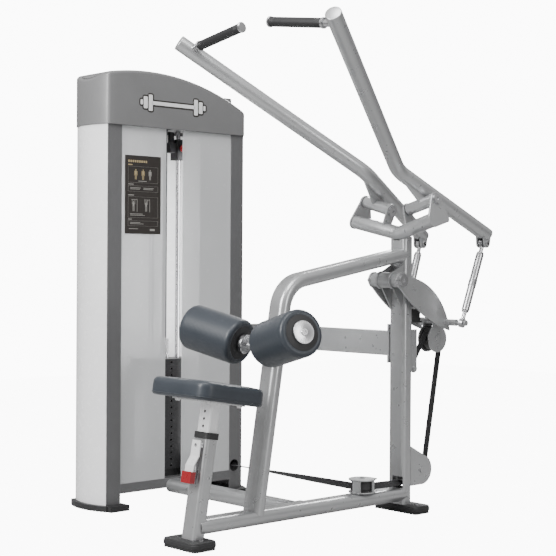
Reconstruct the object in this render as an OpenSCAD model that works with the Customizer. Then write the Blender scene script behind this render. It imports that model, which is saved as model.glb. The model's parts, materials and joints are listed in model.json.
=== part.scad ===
// Selectorised lat pulldown machine with a leaning seat post, two diverging arms,
// a rocking lever, a flat belt drive and a shrouded weight tower.
// Frame: origin on the floor under the rear upright, +X the way the user faces,
// +Y towards the weight tower, +Z up. Millimetres.

/* [Main frame] */
// Width of the frame tubes across the machine
tube_w = 80; // [78:1:82]
// Depth of the frame tubes
tube_d = 50; // [48:1:52]
// Wall of the frame tubes
tube_wall = 3; // [2:0.5:4]
// Height of the rubber feet
foot_h = 22; // [18:1:26]
// Lean of the seat post and of the bent tube's lower leg, in degrees
lean = 9.5; // [8:0.5:10]
// Distance from the rear upright back to the seat post, at the floor
seat_reach = 1017; // [1010:1:1025]
// Height of the corner of the bent tube
bent_corner_z = 868; // [860:1:880]
// Distance from the rear upright back to the corner of the bent tube
bent_corner_x = 613; // [605:1:620]

/* [Arms] */
// Height of the arm pivots
pivot_z = 1164; // [1160:1:1168]
// Distance of each arm pivot from the centre plane
pivot_y = 111; // [109:1:113]
// Tilt of the arm pivot axes, in degrees
pivot_tilt = 15; // [14:0.5:16]
// Diameter of the arm tubes
arm_d = 57; // [54:1:58]
// Diameter of the hand grips
grip_d = 34; // [30:1:38]

/* [Lever] */
// Height of the lever shaft
lever_z = 880; // [876:1:884]
// Distance of the lever shaft in front of the rear upright
lever_x = 75; // [72:1:78]
// Radius of the two large belt pulleys
pulley_r = 44; // [42:1:46]

/* [Seat and rollers] */
// Width of the seat pad
seat_w = 300; // [280:5:320]
// Length of the seat pad
seat_l = 283; // [270:1:290]
// Thickness of the seat pad
seat_t = 65; // [60:1:68]
// Outer diameter of the thigh rollers
roller_d = 165; // [150:1:168]
// Length of the foam on each thigh roller
roller_l = 228; // [220:1:235]

/* [Weight tower] */
// Distance from the centre plane to the tower's front
tower_y = 708; // [700:1:715]
// Width of the tower between the outsides of its columns
tower_w = 674; // [660:1:680]
// Depth of the tower
tower_dp = 205; // [200:1:215]
// Height of the underside of the tower's cap
cap_z = 1463; // [1450:1:1475]
// Number of weight plates, with the head plate
plate_n = 17; // [15:1:18]
// Number of plates lifted by the selector pin where it now sits
lifted_n = 4; // [3:1:5]
// Thickness of one weight plate
plate_t = 25.4; // [24:0.1:25.5]

/* [Hidden] */
$fn = 64;

// Colours
silver = [0.62, 0.63, 0.64];
dark_grey = [0.40, 0.40, 0.41];
cap_grey = [0.48, 0.48, 0.49];
white = [0.93, 0.93, 0.94];
black = [0.08, 0.08, 0.09];
steel = [0.80, 0.80, 0.82];
slate = [0.22, 0.25, 0.30];
red = [0.75, 0.08, 0.10];

// General sizes
slack = 0.05;               // radial running clearance of every shaft
round_r = 15;               // corner radius of the upright
oval_r = 22;                // corner radius of the oval tubes
oval_w = tube_w + 2;
plate_over_foot = 5;        // steel plate on top of each rubber foot
floor_top = foot_h + plate_over_foot;
rail_z = 67;                // height of the base rail's axis
bolt_r = 8;
bolt_h = 7;

// Bent tube
bent_bend_r = 115;
bent_rise = 10.2;           // climb of the upper leg, in degrees
bent_corner = [-bent_corner_x, 0, bent_corner_z];
bent_bottom = bent_corner - (bent_corner_z - 74) * [tan(lean), 0, 1];
bent_top = bent_corner + bent_corner_x * [1, 0, tan(bent_rise)];

// Seat, along its leaning axis
seat_d = 50;
seat_tube_w = 70;
seat_r = 12;
seat_wall = 2.5;
seat_collar_l = 360;
seat_collar_h = 21;
seat_plate_l = 480;
pad_shift = -20;            // the pad sits back on its plate
pad_corner = 42;
seat_plate_t = 4;
seat_hole_pitch = 25;

// Thigh rollers: a V bar with its root in front of the bent tube
roller_root = [-728, 0, 647];
roller_dir = [-0.207, 0.953, 0.225] / norm([-0.207, 0.953, 0.225]);
roller_start = 72;
roller_end = roller_start + roller_l;
roller_bar_r = 13;

// Yoke and arm pivots
yoke_root = [-13, 0, 1057];
yoke_end = [-47, 200, 1105];
yoke_r = 27;
pivot_x = -13;
pivot_r = 12.5;
barrel_r = 23;
barrel_half = 65;
plate_gap = 2;
yoke_plate_t = 8;
pivot_cap_r = 22;

// Arms, given for the side towards the tower
arm_tip = [-770, 397, 1741];
arm_bend = [-112, 82, 1286];
arm_rear = [305, 165, 1055];
link_top = [289, 161, 1024];
handle_root = arm_tip + 50 * unit(arm_bend - arm_tip);
handle_tip = [-748, 69, 1758];
handle_len = norm(handle_tip - handle_root);

// Lever, link rods and belt pulleys
link_low = [180, 150, 718];
swivel_dir = unit([0.1858, 0.9664, -0.1777]);
shaft_r = 16;
lever_plate_y = 66;
lever_plate_t = 8;
moving_c = [181, 0, 652];
rear_c = [89, 0, 152];
pulley_w = 36;
belt_w = 26;
belt_t = 3;
belt_gap = 0.05;            // between a belt's inner face and its pulley
stub = 24;                  // straight belt before and after a quarter turn
base_c = [-208, 0, 120];
base_r = 38;
anchor = [52, 0, 542];

// Weight tower
tower_x = -523;             // centre of the tower
col_w = 65;
sheet = 3;
col_l = tower_x - tower_w / 2;
col_r = tower_x + tower_w / 2;
base_top = 97;
col_top = 1548;
shell_bulge = 24;
shell_r = (pow(tower_dp / 2, 2) + pow(shell_bulge, 2)) / (2 * shell_bulge);
stack_c = [-522, tower_y + 87, 0];
guide_off = 65;
guide_r = 9.5;
bumper_h = 28;
stack_z = base_top + bumper_h;
plate_pitch = plate_t + 0.2;
plate_dp = 100;
wide_plate = 360;
narrow_plate = 290;
head_plate_w = 254;
narrow_n = 5;
rod_r = 13;
pin_r = 4.5;
tower_pulley_r = 40;
top_pulley_z = 1530;
guide_top = 1478;            // the guide rods end under the top beam
beam_h = 70;
tower_in = [-225, tower_y, 115];   // where the belt enters the tower
turn_r = 34;                // pulley that turns the belt upwards in the right column
turn_c = [tower_in[0], stack_c[1] - turn_r - belt_t / 2, tower_in[2] + turn_r + belt_t / 2];
cap_arc_r = 1040;
cap_arc_c = [-665, 639];
slot_l = -581;
slot_r = -497;

// ---- helpers ----
function unit(v) = v / norm(v);
function plate_z(i) = stack_z + i * plate_pitch;
function plate_width(i) = i == plate_n - 1 ? head_plate_w
    : i >= plate_n - narrow_n ? narrow_plate : wide_plate;

// Places children so that their x, y and z axes point along three unit vectors
module placed(o, x, y, z)
    multmatrix([[x[0], y[0], z[0], o[0]], [x[1], y[1], z[1], o[1]],
        [x[2], y[2], z[2], o[2]], [0, 0, 0, 1]]) children();

// Round bar from p to q
module bar(p, q, r) {
    d = q - p;
    translate(p) rotate([0, acos(d[2] / norm(d)), atan2(d[1], d[0])]) cylinder(r = r, h = norm(d));
}

// Section swept from a to c round the corner b, with an arc of radius bend
module swept(a, b, c, bend) {
    u = unit(a - b);
    v = unit(c - b);
    half = acos(u * v) / 2;
    reach = bend / tan(half);
    centre = b + unit(u + v) * bend / sin(half);
    start = b + u * reach;
    finish = b + v * reach;
    e1 = unit(start - centre);
    f1 = unit(finish - centre);
    n = unit(cross(e1, f1));
    placed(start, e1, n, cross(e1, n)) linear_extrude(norm(a - start)) children();
    placed(centre, e1, cross(n, e1), n)
        rotate_extrude(angle = 180 - 2 * half, $fn = 96) translate([bend, 0]) children();
    placed(finish, f1, -n, cross(n, f1)) linear_extrude(norm(c - finish)) children();
}

// Rectangle with true round corners, centred
module round_rect(w, d, r) {
    square([w - 2 * r, d], center = true);
    square([w, d - 2 * r], center = true);
    for (x = [-1, 1], y = [-1, 1])
        translate([x * (w / 2 - r), y * (d / 2 - r)]) circle(r);
}

module tube_section(w, d, r, wall)
    difference() {
        round_rect(w, d, r);
        round_rect(w - 2 * wall, d - 2 * wall, r - wall);
    }

module ring(r_out, r_in)
    difference() {
        circle(r_out);
        circle(r_in);
    }

// Extrudes an outline drawn in X and Z along Y, from y0 to y0 + t
module along_y(y0, t) translate([0, y0 + t, 0]) rotate([90, 0, 0]) linear_extrude(t) children();

// Extrudes an outline drawn in Y and Z along X, from x0 to x0 + t
module along_x(x0, t) translate([x0, 0, 0]) rotate([90, 0, 90]) linear_extrude(t) children();

module mirrored() {
    children();
    mirror([0, 1, 0]) children();
}

// Seat frame: local z runs up the leaning post, from the floor
module on_seat_axis() translate([-seat_reach, 0, 0]) rotate([0, lean, 0]) children();

// Pivot frame of the arm on the tower's side: local y runs outwards along the axis
module on_pivot() translate([pivot_x, pivot_y, pivot_z]) rotate([pivot_tilt, 0, 0]) children();

// Round head of a bolt, standing up along z
module bolt_head() {
    cylinder(r = bolt_r + 2, h = 2);
    translate([0, 0, 2]) difference() {
        cylinder(r = bolt_r, h = bolt_h - 2);
        translate([0, 0, 2]) cylinder(r = bolt_r / 2, h = bolt_h, $fn = 6);
    }
}

// Grooved belt pulley on the z axis, centred, with a running bore
module pulley(r, w, bore) {
    difference() {
        rotate_extrude() polygon([[bore, -w / 2], [r + 5, -w / 2], [r + 5, -w / 2 + 3],
            [r, -w / 2 + 3.5], [r, w / 2 - 3.5], [r + 5, w / 2 - 3], [r + 5, w / 2],
            [bore, w / 2]]);
        for (s = [-1, 1]) translate([0, 0, s * w / 2])
            rotate_extrude() translate([bore + 6, -4]) square([r - bore - 13, 8]);
    }
}

// ---- main frame ----
module upright_solid(grow = 0) linear_extrude(1100) round_rect(tube_d + 2 * grow, tube_w + 2 * grow, round_r);
module rail_solid() along_x(-seat_reach, seat_reach) translate([0, rail_z]) round_rect(oval_w, tube_d, oval_r);
module seat_tube_solid() on_seat_axis() linear_extrude(seat_collar_l) round_rect(seat_d, seat_tube_w, seat_r);
module yoke_tube_solid() {
    mirrored() bar(yoke_root, yoke_end, yoke_r);
    translate(yoke_root) sphere(yoke_r + 0.4);
}

module rear_upright() color(silver) {
    difference() {
        translate([0, 0, floor_top]) linear_extrude(1045 - floor_top)
            tube_section(tube_d, tube_w, round_r, tube_wall);
        // saddle for the yoke tube
        mirrored() bar(yoke_root - 0.08 * (yoke_end - yoke_root), yoke_end, yoke_r + 0.6);
        // belt slots through the front and rear walls
        translate([-tube_d, -34, 92]) cube([2 * tube_d, 50, 44]);
    }
    translate([-27, -92, foot_h]) cube([81, 200, plate_over_foot]);
}

module base_rail() color(silver) difference() {
    along_x(-seat_reach + 12, seat_reach - 12) translate([0, rail_z])
        tube_section(oval_w, tube_d, oval_r, tube_wall);
    upright_solid();
    seat_tube_solid();
}

module bent_tube() color(silver) difference() {
    swept(bent_bottom, bent_corner, bent_top, bent_bend_r) tube_section(tube_d, oval_w, oval_r, tube_wall);
    upright_solid();
    rail_solid();
}

module seat_tube() color(silver) {
    leaning_tube();
    seat_foot_plate();
}
module leaning_tube() difference() {
    on_seat_axis() difference() {
        linear_extrude(seat_collar_l) tube_section(seat_d, seat_tube_w, seat_r, seat_wall);
        // locking pin hole in the rear wall, and a small lower hole in the side wall
        translate([-seat_d / 2, 0, 300]) rotate([0, 90, 0]) cylinder(r = 6, h = 20, center = true);
        translate([4, -seat_tube_w / 2, 232]) rotate([90, 0, 0]) cylinder(r = 5, h = 20, center = true);
    }
    translate([-1200, -100, -20]) cube([400, 200, 20 + floor_top]);
}
module seat_foot_plate() translate([-seat_reach - 52, -77, foot_h]) cube([88, 154, plate_over_foot]);

module seat_collar() color(black) on_seat_axis() translate([0, 0, seat_collar_l]) {
    linear_extrude(seat_collar_h) difference() {
        round_rect(seat_d + 7, seat_tube_w + 7, seat_r + 3);
        round_rect(seat_d - 2 * seat_wall - 3, seat_tube_w - 2 * seat_wall - 3, seat_r - 4);
    }
}

// Outline of a yoke plate: a round eye at the pivot over a foot at (fx, fz), with a toe to the rear
module yoke_plate_outline(fx, fz, foot_r, toe) difference() {
    union() {
        circle(26);
        polygon([[-26, 0], [26, 0], [toe + 12, fz + 4], [toe, fz - 8], [toe - 8, fz - foot_r + 8],
            [fx, fz - foot_r], [fx - foot_r, fz]]);
        translate([fx, fz]) circle(foot_r);
        translate([toe, fz + 4]) circle(12);
    }
    circle(pivot_r + slack);
}

module yoke() color(silver) {
    difference() {
        yoke_tube_solid();
        mirrored() bar(yoke_root + 0.15 * (yoke_end - yoke_root), yoke_end, yoke_r - tube_wall);
        mirrored() on_pivot() translate([-100, barrel_half + plate_gap, -200]) cube([200, 100, 300]);
    }
    mirrored() on_pivot() {
        along_y(barrel_half + plate_gap, yoke_plate_t) yoke_plate_outline(-34, -80, 29, 40);
        along_y(-barrel_half - plate_gap - yoke_plate_t, yoke_plate_t) yoke_plate_outline(-12, -62, 20, 2);
    }
}

module pivot_shafts() color(steel) mirrored() on_pivot() rotate([-90, 0, 0]) {
    reach = barrel_half + plate_gap + yoke_plate_t;
    translate([0, 0, -reach]) cylinder(r = pivot_r, h = 2 * reach);
    for (s = [0, 1]) mirror([0, 0, s]) translate([0, 0, reach]) difference() {
        union() {
            cylinder(r = pivot_cap_r, h = 5);
            cylinder(r = pivot_cap_r - 3, h = 8);
        }
        translate([0, 0, 4]) cylinder(r = 7, h = 10, $fn = 6);
    }
}

brace_z = 638;
brace_h = 93;
brace_far_y = 808;
module brace_solid(w, h) {
    translate([-w / 2, tube_w / 2 + 8, brace_z - h / 2]) cube([w, brace_far_y + w / 2 - tube_w / 2 - 8, h]);
    translate([col_r, brace_far_y - w / 2, brace_z - h / 2]) cube([-col_r, w, h]);
}
module mid_brace() color(silver) {
    difference() {
        brace_solid(tube_d, brace_h);
        translate([-tube_d / 2 + tube_wall, 45, brace_z - brace_h / 2 + tube_wall])
            cube([tube_d - 2 * tube_wall, brace_far_y + tube_d / 2 - tube_wall - 45, brace_h - 2 * tube_wall]);
        translate([col_r - 1, brace_far_y - tube_d / 2 + tube_wall, brace_z - brace_h / 2 + tube_wall])
            cube([1 - col_r, tube_d - 2 * tube_wall, brace_h - 2 * tube_wall]);
    }
    // bolted flange against the upright
    difference() {
        translate([-tube_d / 2, tube_w / 2, brace_z - 74]) cube([tube_d, 8, 148]);
        upright_solid();
    }
}

cross_x = -535;
module cross_base_tube() color(silver) {
    start = oval_w / 2 + 4;
    along_y(start, tower_y - start) translate([cross_x, rail_z]) tube_section(tube_w, tube_d, oval_r, tube_wall);
    difference() {
        along_y(oval_w / 2 - 10, 18) translate([cross_x, rail_z]) round_rect(126, 44, 5);
        along_x(-seat_reach, seat_reach) translate([0, rail_z]) round_rect(oval_w + 0.4, tube_d + 0.4, oval_r);
    }
}

// Rubber foot with rounded ends and a ribbed underside, running along Y
module rubber_foot(x0, y0, w, l) difference() {
    translate([x0 + w / 2, y0 + l / 2, 0]) linear_extrude(foot_h) round_rect(w, l, 18);
    for (i = [1:floor(l / 16) - 1])
        translate([x0 - 1, y0 + i * 16, 0]) rotate([0, 90, 0]) cylinder(r = 4, h = w + 2, $fn = 6);
}

// ---- weight tower ----
// Segment of a circle bulging outwards from the left face of the tower
module bulge(r, grow) intersection() {
    translate([col_l - shell_bulge - grow + r, tower_y + tower_dp / 2]) circle(r, $fn = 128);
    translate([col_l - 60, tower_y - grow]) square([60.01, tower_dp + 2 * grow]);
}
module both_flanks() {
    children();
    translate([2 * tower_x, 0]) mirror([1, 0]) children();
}

module rubber_feet() color(black) {
    rubber_foot(-seat_reach - 58, -84, 100, 168);
    rubber_foot(-28, -104, 88, 216);
    tower_feet();
}
module tower_feet() difference() {
    linear_extrude(foot_h) both_flanks() {
        bulge(shell_r + 16, 16);
        translate([col_l - 6, tower_y - 38]) square([col_w + 22, tower_dp + 54]);
    }
    for (i = [0:16]) translate([0, tower_y - 34 + i * 16, 0]) rotate([0, 90, 0])
        translate([0, 0, col_l - 60]) cylinder(r = 4, h = tower_w + 120, $fn = 6);
}

module tower_columns() color(dark_grey) {
    difference() {
        translate([0, 0, foot_h]) linear_extrude(col_top - foot_h) both_flanks() difference() {
            translate([col_l, tower_y]) square([col_w, tower_dp]);
            translate([col_l + sheet, tower_y + sheet]) square([col_w, tower_dp - 2 * sheet]);
        }
        // round hole where the belt enters the right column
        translate(tower_in) rotate([90, 0, 0]) cylinder(r = 24, h = 20, center = true);
    }
    // axle of the pulley that turns the belt
    along_x(col_r - col_w + 6, col_w - 8) translate([turn_c[1], turn_c[2]]) circle(8);
}

module tower_base() color(dark_grey) {
    inner = tower_w - 2 * col_w;
    for (y = [tower_y, tower_y + tower_dp - 40])
        translate([col_l + col_w, y, 60]) difference() {
            cube([inner, 40, base_top - 60]);
            translate([-1, 3, 3]) cube([inner + 2, 34, base_top - 66]);
        }
    translate([stack_c[0] - 150, tower_y + 40, base_top - 8]) cube([300, tower_dp - 80, 8]);
}

module tower_top_beam() color(dark_grey) {
    inner = tower_w - 2 * sheet;
    for (y = [-50, 44]) translate([col_l + sheet, stack_c[1] + y, guide_top]) cube([inner, 6, beam_h]);
    // axles of the two top pulleys
    for (x = [top_left_x, top_right_x]) along_y(stack_c[1] - 47, 94) translate([x, top_pulley_z]) circle(8);
    translate([stack_c[0] - 130, stack_c[1] - 50, guide_top - 8]) difference() {
        cube([260, 100, 8]);
        for (s = [-1, 1]) translate([130 + s * guide_off, 50, -1]) cylinder(r = guide_r + slack, h = 10);
        translate([110, 26, -1]) cube([40, 48, 10]);
    }
}

module side_shells() color(white) difference() {
    translate([0, 0, foot_h]) linear_extrude(cap_z - foot_h) both_flanks() difference() {
        bulge(shell_r, 0);
        intersection() {
            translate([col_l - shell_bulge + shell_r, tower_y + tower_dp / 2])
                circle(shell_r - 4, $fn = 128);
            translate([col_l - 60, tower_y + 4]) square([61, tower_dp - 8]);
        }
        translate([col_l - 0.3, tower_y - 1]) square([2, tower_dp + 2]);
    }
    brace_solid(tube_d + 4, brace_h + 4);
}

module front_panels() color([0.80, 0.82, 0.84, 0.5]) {
    left = col_l + col_w;
    translate([left, tower_y + 3, base_top]) cube([slot_l - left, 4, cap_z - base_top]);
    translate([slot_r, tower_y + 3, base_top]) cube([col_r - col_w - slot_r, 4, cap_z - base_top]);
}

module rear_panel() color(white)
    translate([col_l + col_w, tower_y + tower_dp - 7, base_top])
        cube([tower_w - 2 * col_w, 4, cap_z - base_top]);

// Solid of the cap, shrunk by t all round
module cap_solid(t) intersection() {
    translate([0, 0, cap_z - 2]) linear_extrude(300) {
        both_flanks() bulge(shell_r - t, 4 - t);
        translate([tower_x, tower_y + tower_dp / 2]) round_rect(tower_w + 8 - 2 * t, tower_dp + 14 - 2 * t, t > 3 ? 2 : 6);
    }
    along_y(tower_y - 20, tower_dp + 60) translate(cap_arc_c) circle(cap_arc_r - t, $fn = 256);
}

module tower_cap() color(cap_grey) {
    difference() {
        cap_solid(0);
        cap_solid(4);
        translate([-1200, tower_y - 50, cap_z - 50]) cube([1400, 400, 50]);
    }
    // small box behind the right shoulder
    difference() {
        translate([-292, tower_y + 40, 1585]) cube([58, 60, 42]);
        cap_solid(2);
    }
}

module placard() color(black) translate([-779, tower_y + 1, 1051]) cube([170, 2, 300]);

module guide_rods() color(steel) for (s = [-1, 1])
    translate([stack_c[0] + s * guide_off, stack_c[1], base_top]) cylinder(r = guide_r, h = guide_top - base_top);

module stack_bumper() color(black) translate([stack_c[0], stack_c[1], base_top]) difference() {
    linear_extrude(bumper_h - 0.5) round_rect(200, 80, 12);
    for (s = [-1, 1]) translate([s * guide_off, 0, -1]) cylinder(r = guide_r + slack, h = bumper_h + 2);
    translate([0, 0, -1]) cylinder(r = rod_r + 4, h = bumper_h + 2);
}

// Weight plate i, counted from the bottom
module weight_plate(i) translate([stack_c[0], stack_c[1], plate_z(i)]) difference() {
    translate([-plate_width(i) / 2, -plate_dp / 2, 0]) cube([plate_width(i), plate_dp, plate_t]);
    for (s = [-1, 1]) translate([s * guide_off, 0, -1]) cylinder(r = guide_r + slack + 0.03, h = plate_t + 2);
    translate([0, 0, -1]) cylinder(r = rod_r + slack + 0.03, h = plate_t + 2);
    translate([0, 0, plate_t / 2]) rotate([90, 0, 0]) cylinder(r = pin_r + slack, h = plate_dp);
}

module weight_plates() color(black) for (i = [0:plate_n - lifted_n - 1]) weight_plate(i);
module lifted_plates() color(black) for (i = [plate_n - lifted_n:plate_n - 1]) weight_plate(i);

connector_z = 62;
module selector_rod() color(steel) translate([stack_c[0], stack_c[1], 0]) difference() {
    union() {
        translate([0, 0, stack_z + 3]) cylinder(r = rod_r, h = plate_n * plate_pitch + 20);
        translate([-17, -10, plate_z(plate_n) + 18]) cube([34, 20, connector_z]);
        // collar that locks the rod to the head plate
        translate([0, 0, plate_z(plate_n) - 0.2]) cylinder(r = 20, h = 18);
    }
    for (i = [0:plate_n - 1]) translate([0, 0, plate_z(i) + plate_t / 2]) rotate([90, 0, 0])
        cylinder(r = pin_r + slack, h = 60, center = true);
    translate([-20, -2, plate_z(plate_n) + 48]) cube([40, 4, connector_z]);
}

pin_z = plate_z(plate_n - lifted_n) + plate_t / 2;
module selector_pin() color(red) translate([stack_c[0], stack_c[1], pin_z]) rotate([90, 0, 0]) {
    translate([0, 0, 1 - rod_r]) cylinder(r = pin_r, h = rod_r + plate_dp / 2 + 2);
    translate([0, 0, plate_dp / 2 + 1]) cylinder(r = 15, h = 6);
    translate([0, 0, plate_dp / 2 + 7]) cylinder(r = 8, h = 22);
    translate([0, 0, plate_dp / 2 + 29]) cylinder(r1 = 13, r2 = 16, h = 8);
    translate([0, 0, plate_dp / 2 + 37]) cylinder(r1 = 16, r2 = 12, h = 8);
}

addon_z = 1352;
module addon_weight() color(black) translate([stack_c[0] + guide_off, stack_c[1], addon_z]) difference() {
    union() {
        translate([-20, -24, 0]) cube([40, 48, 82]);
        translate([-52, -16, 28]) cube([32, 32, 40]);
        translate([-36, 0, 68]) cylinder(r = 13, h = 42);
    }
    translate([0, 0, -1]) cylinder(r = guide_r + slack, h = 100);
    translate([0, 0, 46]) rotate([90, 0, 0]) translate([0, 0, 13]) cylinder(r = 4 + slack, h = 40);
}
module addon_pin() color(red) translate([stack_c[0] + guide_off, stack_c[1], addon_z + 46]) rotate([90, 0, 0]) {
    translate([0, 0, 14]) cylinder(r = 4, h = 16);
    translate([0, 0, 25]) cylinder(r = 8, h = 12);
    translate([0, 0, 37]) cylinder(r1 = 12, r2 = 15, h = 6);
    translate([0, 0, 43]) cylinder(r1 = 15, r2 = 11, h = 5);
}

// ---- lever, links and belt drive ----
module lever_bracket() color(silver) difference() {
    union() {
        translate([-lever_x, 36, lever_z]) rotate([90, 0, 0]) cylinder(r = 30, h = 72);
        for (y = [-31, 25]) along_y(y, 6) polygon([[-lever_x - 27, lever_z + 6], [-lever_x - 16, lever_z + 26],
            [-20, lever_z + 62], [-20, lever_z - 120]]);
        for (y = [-36, 28]) translate([-lever_x, y + 8, lever_z]) rotate([90, 0, 0]) cylinder(r = 34, h = 8);
    }
    translate([-lever_x, 60, lever_z]) rotate([90, 0, 0]) cylinder(r = shaft_r + slack, h = 120);
    upright_solid();
    swept(bent_bottom, bent_corner, bent_top, bent_bend_r) round_rect(tube_d + 0.4, oval_w + 0.4, oval_r);
}

module lever_shaft() color(steel) translate([-lever_x, 0, lever_z]) rotate([90, 0, 0]) {
    reach = lever_plate_y + lever_plate_t;
    translate([0, 0, -reach]) cylinder(r = shaft_r, h = 2 * reach);
    for (s = [0, 1]) mirror([0, 0, s]) translate([0, 0, reach]) difference() {
        union() {
            cylinder(r = 25, h = 6);
            cylinder(r = 21, h = 10);
        }
        translate([0, 0, 5]) cylinder(r = 8, h = 10, $fn = 6);
    }
}

// Leaf outline: the overlap of two discs, longest along the line from the shaft to the link ball
module leaf_outline() {
    chord = norm([link_low[0] + lever_x, link_low[2] - lever_z]);
    slope = atan2(link_low[2] - lever_z, link_low[0] + lever_x);
    upper_r = 262;
    lower_r = 620;
    translate([-lever_x, lever_z]) rotate(slope) {
        intersection() {
            translate([chord / 2 - 2, 62 - upper_r]) circle(upper_r, $fn = 160);
            translate([chord / 2 - 2, lower_r - 46]) circle(lower_r, $fn = 200);
            translate([-30, -100]) square([chord + 62, 200]);
        }
        circle(31);
    }
}

stop_bar = [62, 0, 794];
module lever_plates() color(silver) difference() {
    union() {
        for (y = [-lever_plate_y - lever_plate_t, lever_plate_y]) along_y(y, lever_plate_t) leaf_outline();
        for (y = [-lever_plate_y, 37]) along_y(y, lever_plate_y - 37) translate([-lever_x, lever_z]) circle(27);
        // cross tube between the plates, and the bar that meets the stop
        along_y(-lever_plate_y, 2 * lever_plate_y) translate([link_low[0], link_low[2]]) ring(16, 12);
        along_y(-lever_plate_y, 2 * lever_plate_y) translate([stop_bar[0], stop_bar[2]]) ring(17, 13);
        // stub pins with the balls that carry the link rods
        mirrored() {
            along_y(lever_plate_y + lever_plate_t, 50) translate([link_low[0], link_low[2]]) circle(13);
            along_y(lever_plate_y + lever_plate_t, 94) translate([link_low[0], link_low[2]]) circle(6);
            translate(link_low) sphere(12);
            along_y(lever_plate_y + lever_plate_t + 91, 6) translate([link_low[0], link_low[2]]) circle(11);
        }
        // hanging plates of the moving pulley
        for (y = [-28, 23]) along_y(y, 5) {
            translate([moving_c[0], moving_c[2]]) circle(53);
            translate([moving_c[0] - 26, moving_c[2]]) square([52, link_low[2] - moving_c[2]]);
        }
        along_y(-28, 56) translate([moving_c[0], moving_c[2]]) circle(8);
        mirrored() along_y(28, 5) translate([moving_c[0], moving_c[2]]) circle(13);
    }
    translate([-lever_x, 100, lever_z]) rotate([90, 0, 0]) cylinder(r = shaft_r + slack, h = 200);
}

// Turnbuckle rod with an eye at each end, between a lever ball and an arm fork
module link_rod() {
    len = norm(link_top - link_low);
    u = unit(link_top - link_low);
    bar(link_low + 52 * u, link_top - 46 * u, 15);
    bar(link_low + 14 * u, link_low + 53 * u, 8);
    bar(link_top - 47 * u, link_top - 14 * u, 8);
}
module rod_eye(c, r_hole) difference() {
    along_y(c[1] - 8, 16) translate([c[0], c[2]]) circle(18);
    translate(c) rotate([90, 0, 0]) cylinder(r = r_hole, h = 40, center = true);
}
module link_assembly() color(steel) {
    difference() {
        link_rod();
        bar(link_low - 20 * swivel_dir, link_low + 20 * swivel_dir, 14);
        translate(link_top) rotate([90, 0, 0]) cylinder(r = 14, h = 40, center = true);
    }
    // the lower eye wraps the ball, square to the axis that the rod swings about
    difference() {
        bar(link_low - 8 * swivel_dir, link_low + 8 * swivel_dir, 18);
        translate(link_low) sphere(12 + slack);
    }
    rod_eye(link_top, 9);
}
module left_link_rod() link_assembly();
module right_link_rod() mirror([0, 1, 0]) link_assembly();

module belt_anchor() color(silver) {
    for (y = [-22, 17]) along_y(y, 5) {
        translate([tube_d / 2, anchor[2] - 8]) square([anchor[0] - tube_d / 2, 16]);
        translate([tube_d / 2, anchor[2]]) square([anchor[0] - 10, 150]);
        translate([anchor[0], anchor[2]]) circle(16);
    }
    along_y(-30, 60) translate([anchor[0], anchor[2]]) circle(6);
    mirrored() along_y(22, 6) translate([anchor[0], anchor[2]]) circle(11);
}

module lever_stop() color(black) {
    along_y(-26, 52) translate([25, 718]) square([66, 6]);
    along_y(-24, 48) translate([33, 724]) square([50, 45]);
}

module lower_pulley_plates() color(silver) {
    for (y = [-33, 28]) along_y(y, 5) difference() {
        union() {
            translate([rear_c[0], rear_c[2]]) circle(56);
            polygon([[24, rear_c[2] + 96], [rear_c[0] + 33, rear_c[2] + 45], [rear_c[0], rear_c[2] - 56],
                [24, rear_c[2] - 56]]);
        }
        translate([24 - 60, 0]) square([61, 500]);
    }
    along_y(-33, 66) translate([rear_c[0], rear_c[2]]) circle(8);
    mirrored() along_y(33, 5) translate([rear_c[0], rear_c[2]]) circle(12);
}

module moving_pulley() color(black) translate(moving_c) rotate([90, 0, 0]) pulley(pulley_r, pulley_w, 8 + slack);
module rear_pulley() color(black) translate(rear_c) rotate([90, 0, 0]) pulley(pulley_r, pulley_w, 8 + slack);
module base_pulley() color(black) translate(base_c) pulley(base_r, pulley_w, 8 + slack);
module tower_pulley() color(black) translate(turn_c) rotate([0, 90, 0]) pulley(turn_r, pulley_w, 8 + slack);
module top_pulley(x) color(black) translate([x, stack_c[1], top_pulley_z]) rotate([90, 0, 0])
    pulley(tower_pulley_r, pulley_w, 8 + slack);
top_right_x = tower_in[0] - tower_pulley_r - belt_t / 2;
top_left_x = stack_c[0] + tower_pulley_r + belt_t / 2;
module top_pulley_right() top_pulley(top_right_x);
module top_pulley_left() top_pulley(top_left_x);

// Housing of the base pulley: two plates on the rail, joined behind the pulley
module pulley_box() color(silver) {
    translate(base_c) {
        for (z = [-26, 20]) translate([0, 0, z]) linear_extrude(5) {
            circle(50);
            translate([-50, -30]) square([100, 30]);
        }
        translate([0, 0, -26]) cylinder(r = 8, h = 46);
        translate([0, 0, 25]) bolt_head();
        // bent wings at both sides
        for (w = [[200, 32], [283, 12]]) rotate(w[0]) translate([45, -w[1] / 2, -26]) cube([5, w[1], 50]);
    }
    // foot on the rail
    difference() {
        translate([base_c[0] - 22, -22, rail_z + 10]) cube([44, 44, base_c[2] - 26 - rail_z - 10]);
        rail_solid();
    }
}

// Belt wrapped on a pulley of radius r whose axis is z, from angle a0 over a1 degrees
module belt_wrap(r, a0, a1) rotate(a0) rotate_extrude(angle = a1)
    translate([r + belt_gap, -belt_w / 2]) square([belt_t, belt_w]);

// Belt from p to q that makes a quarter turn on the way; w and t are its sizes up and across at p
module turning_belt(p, q, w, t) {
    d = q - p;
    translate(p + unit(d) / 2) rotate([0, 0, atan2(d[1], d[0])]) rotate([0, 90 - asin(d[2] / norm(d)), 0])
        linear_extrude(norm(d) - 1, twist = 90, slices = 10, segments = 4) square([w, t], center = true);
}

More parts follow.
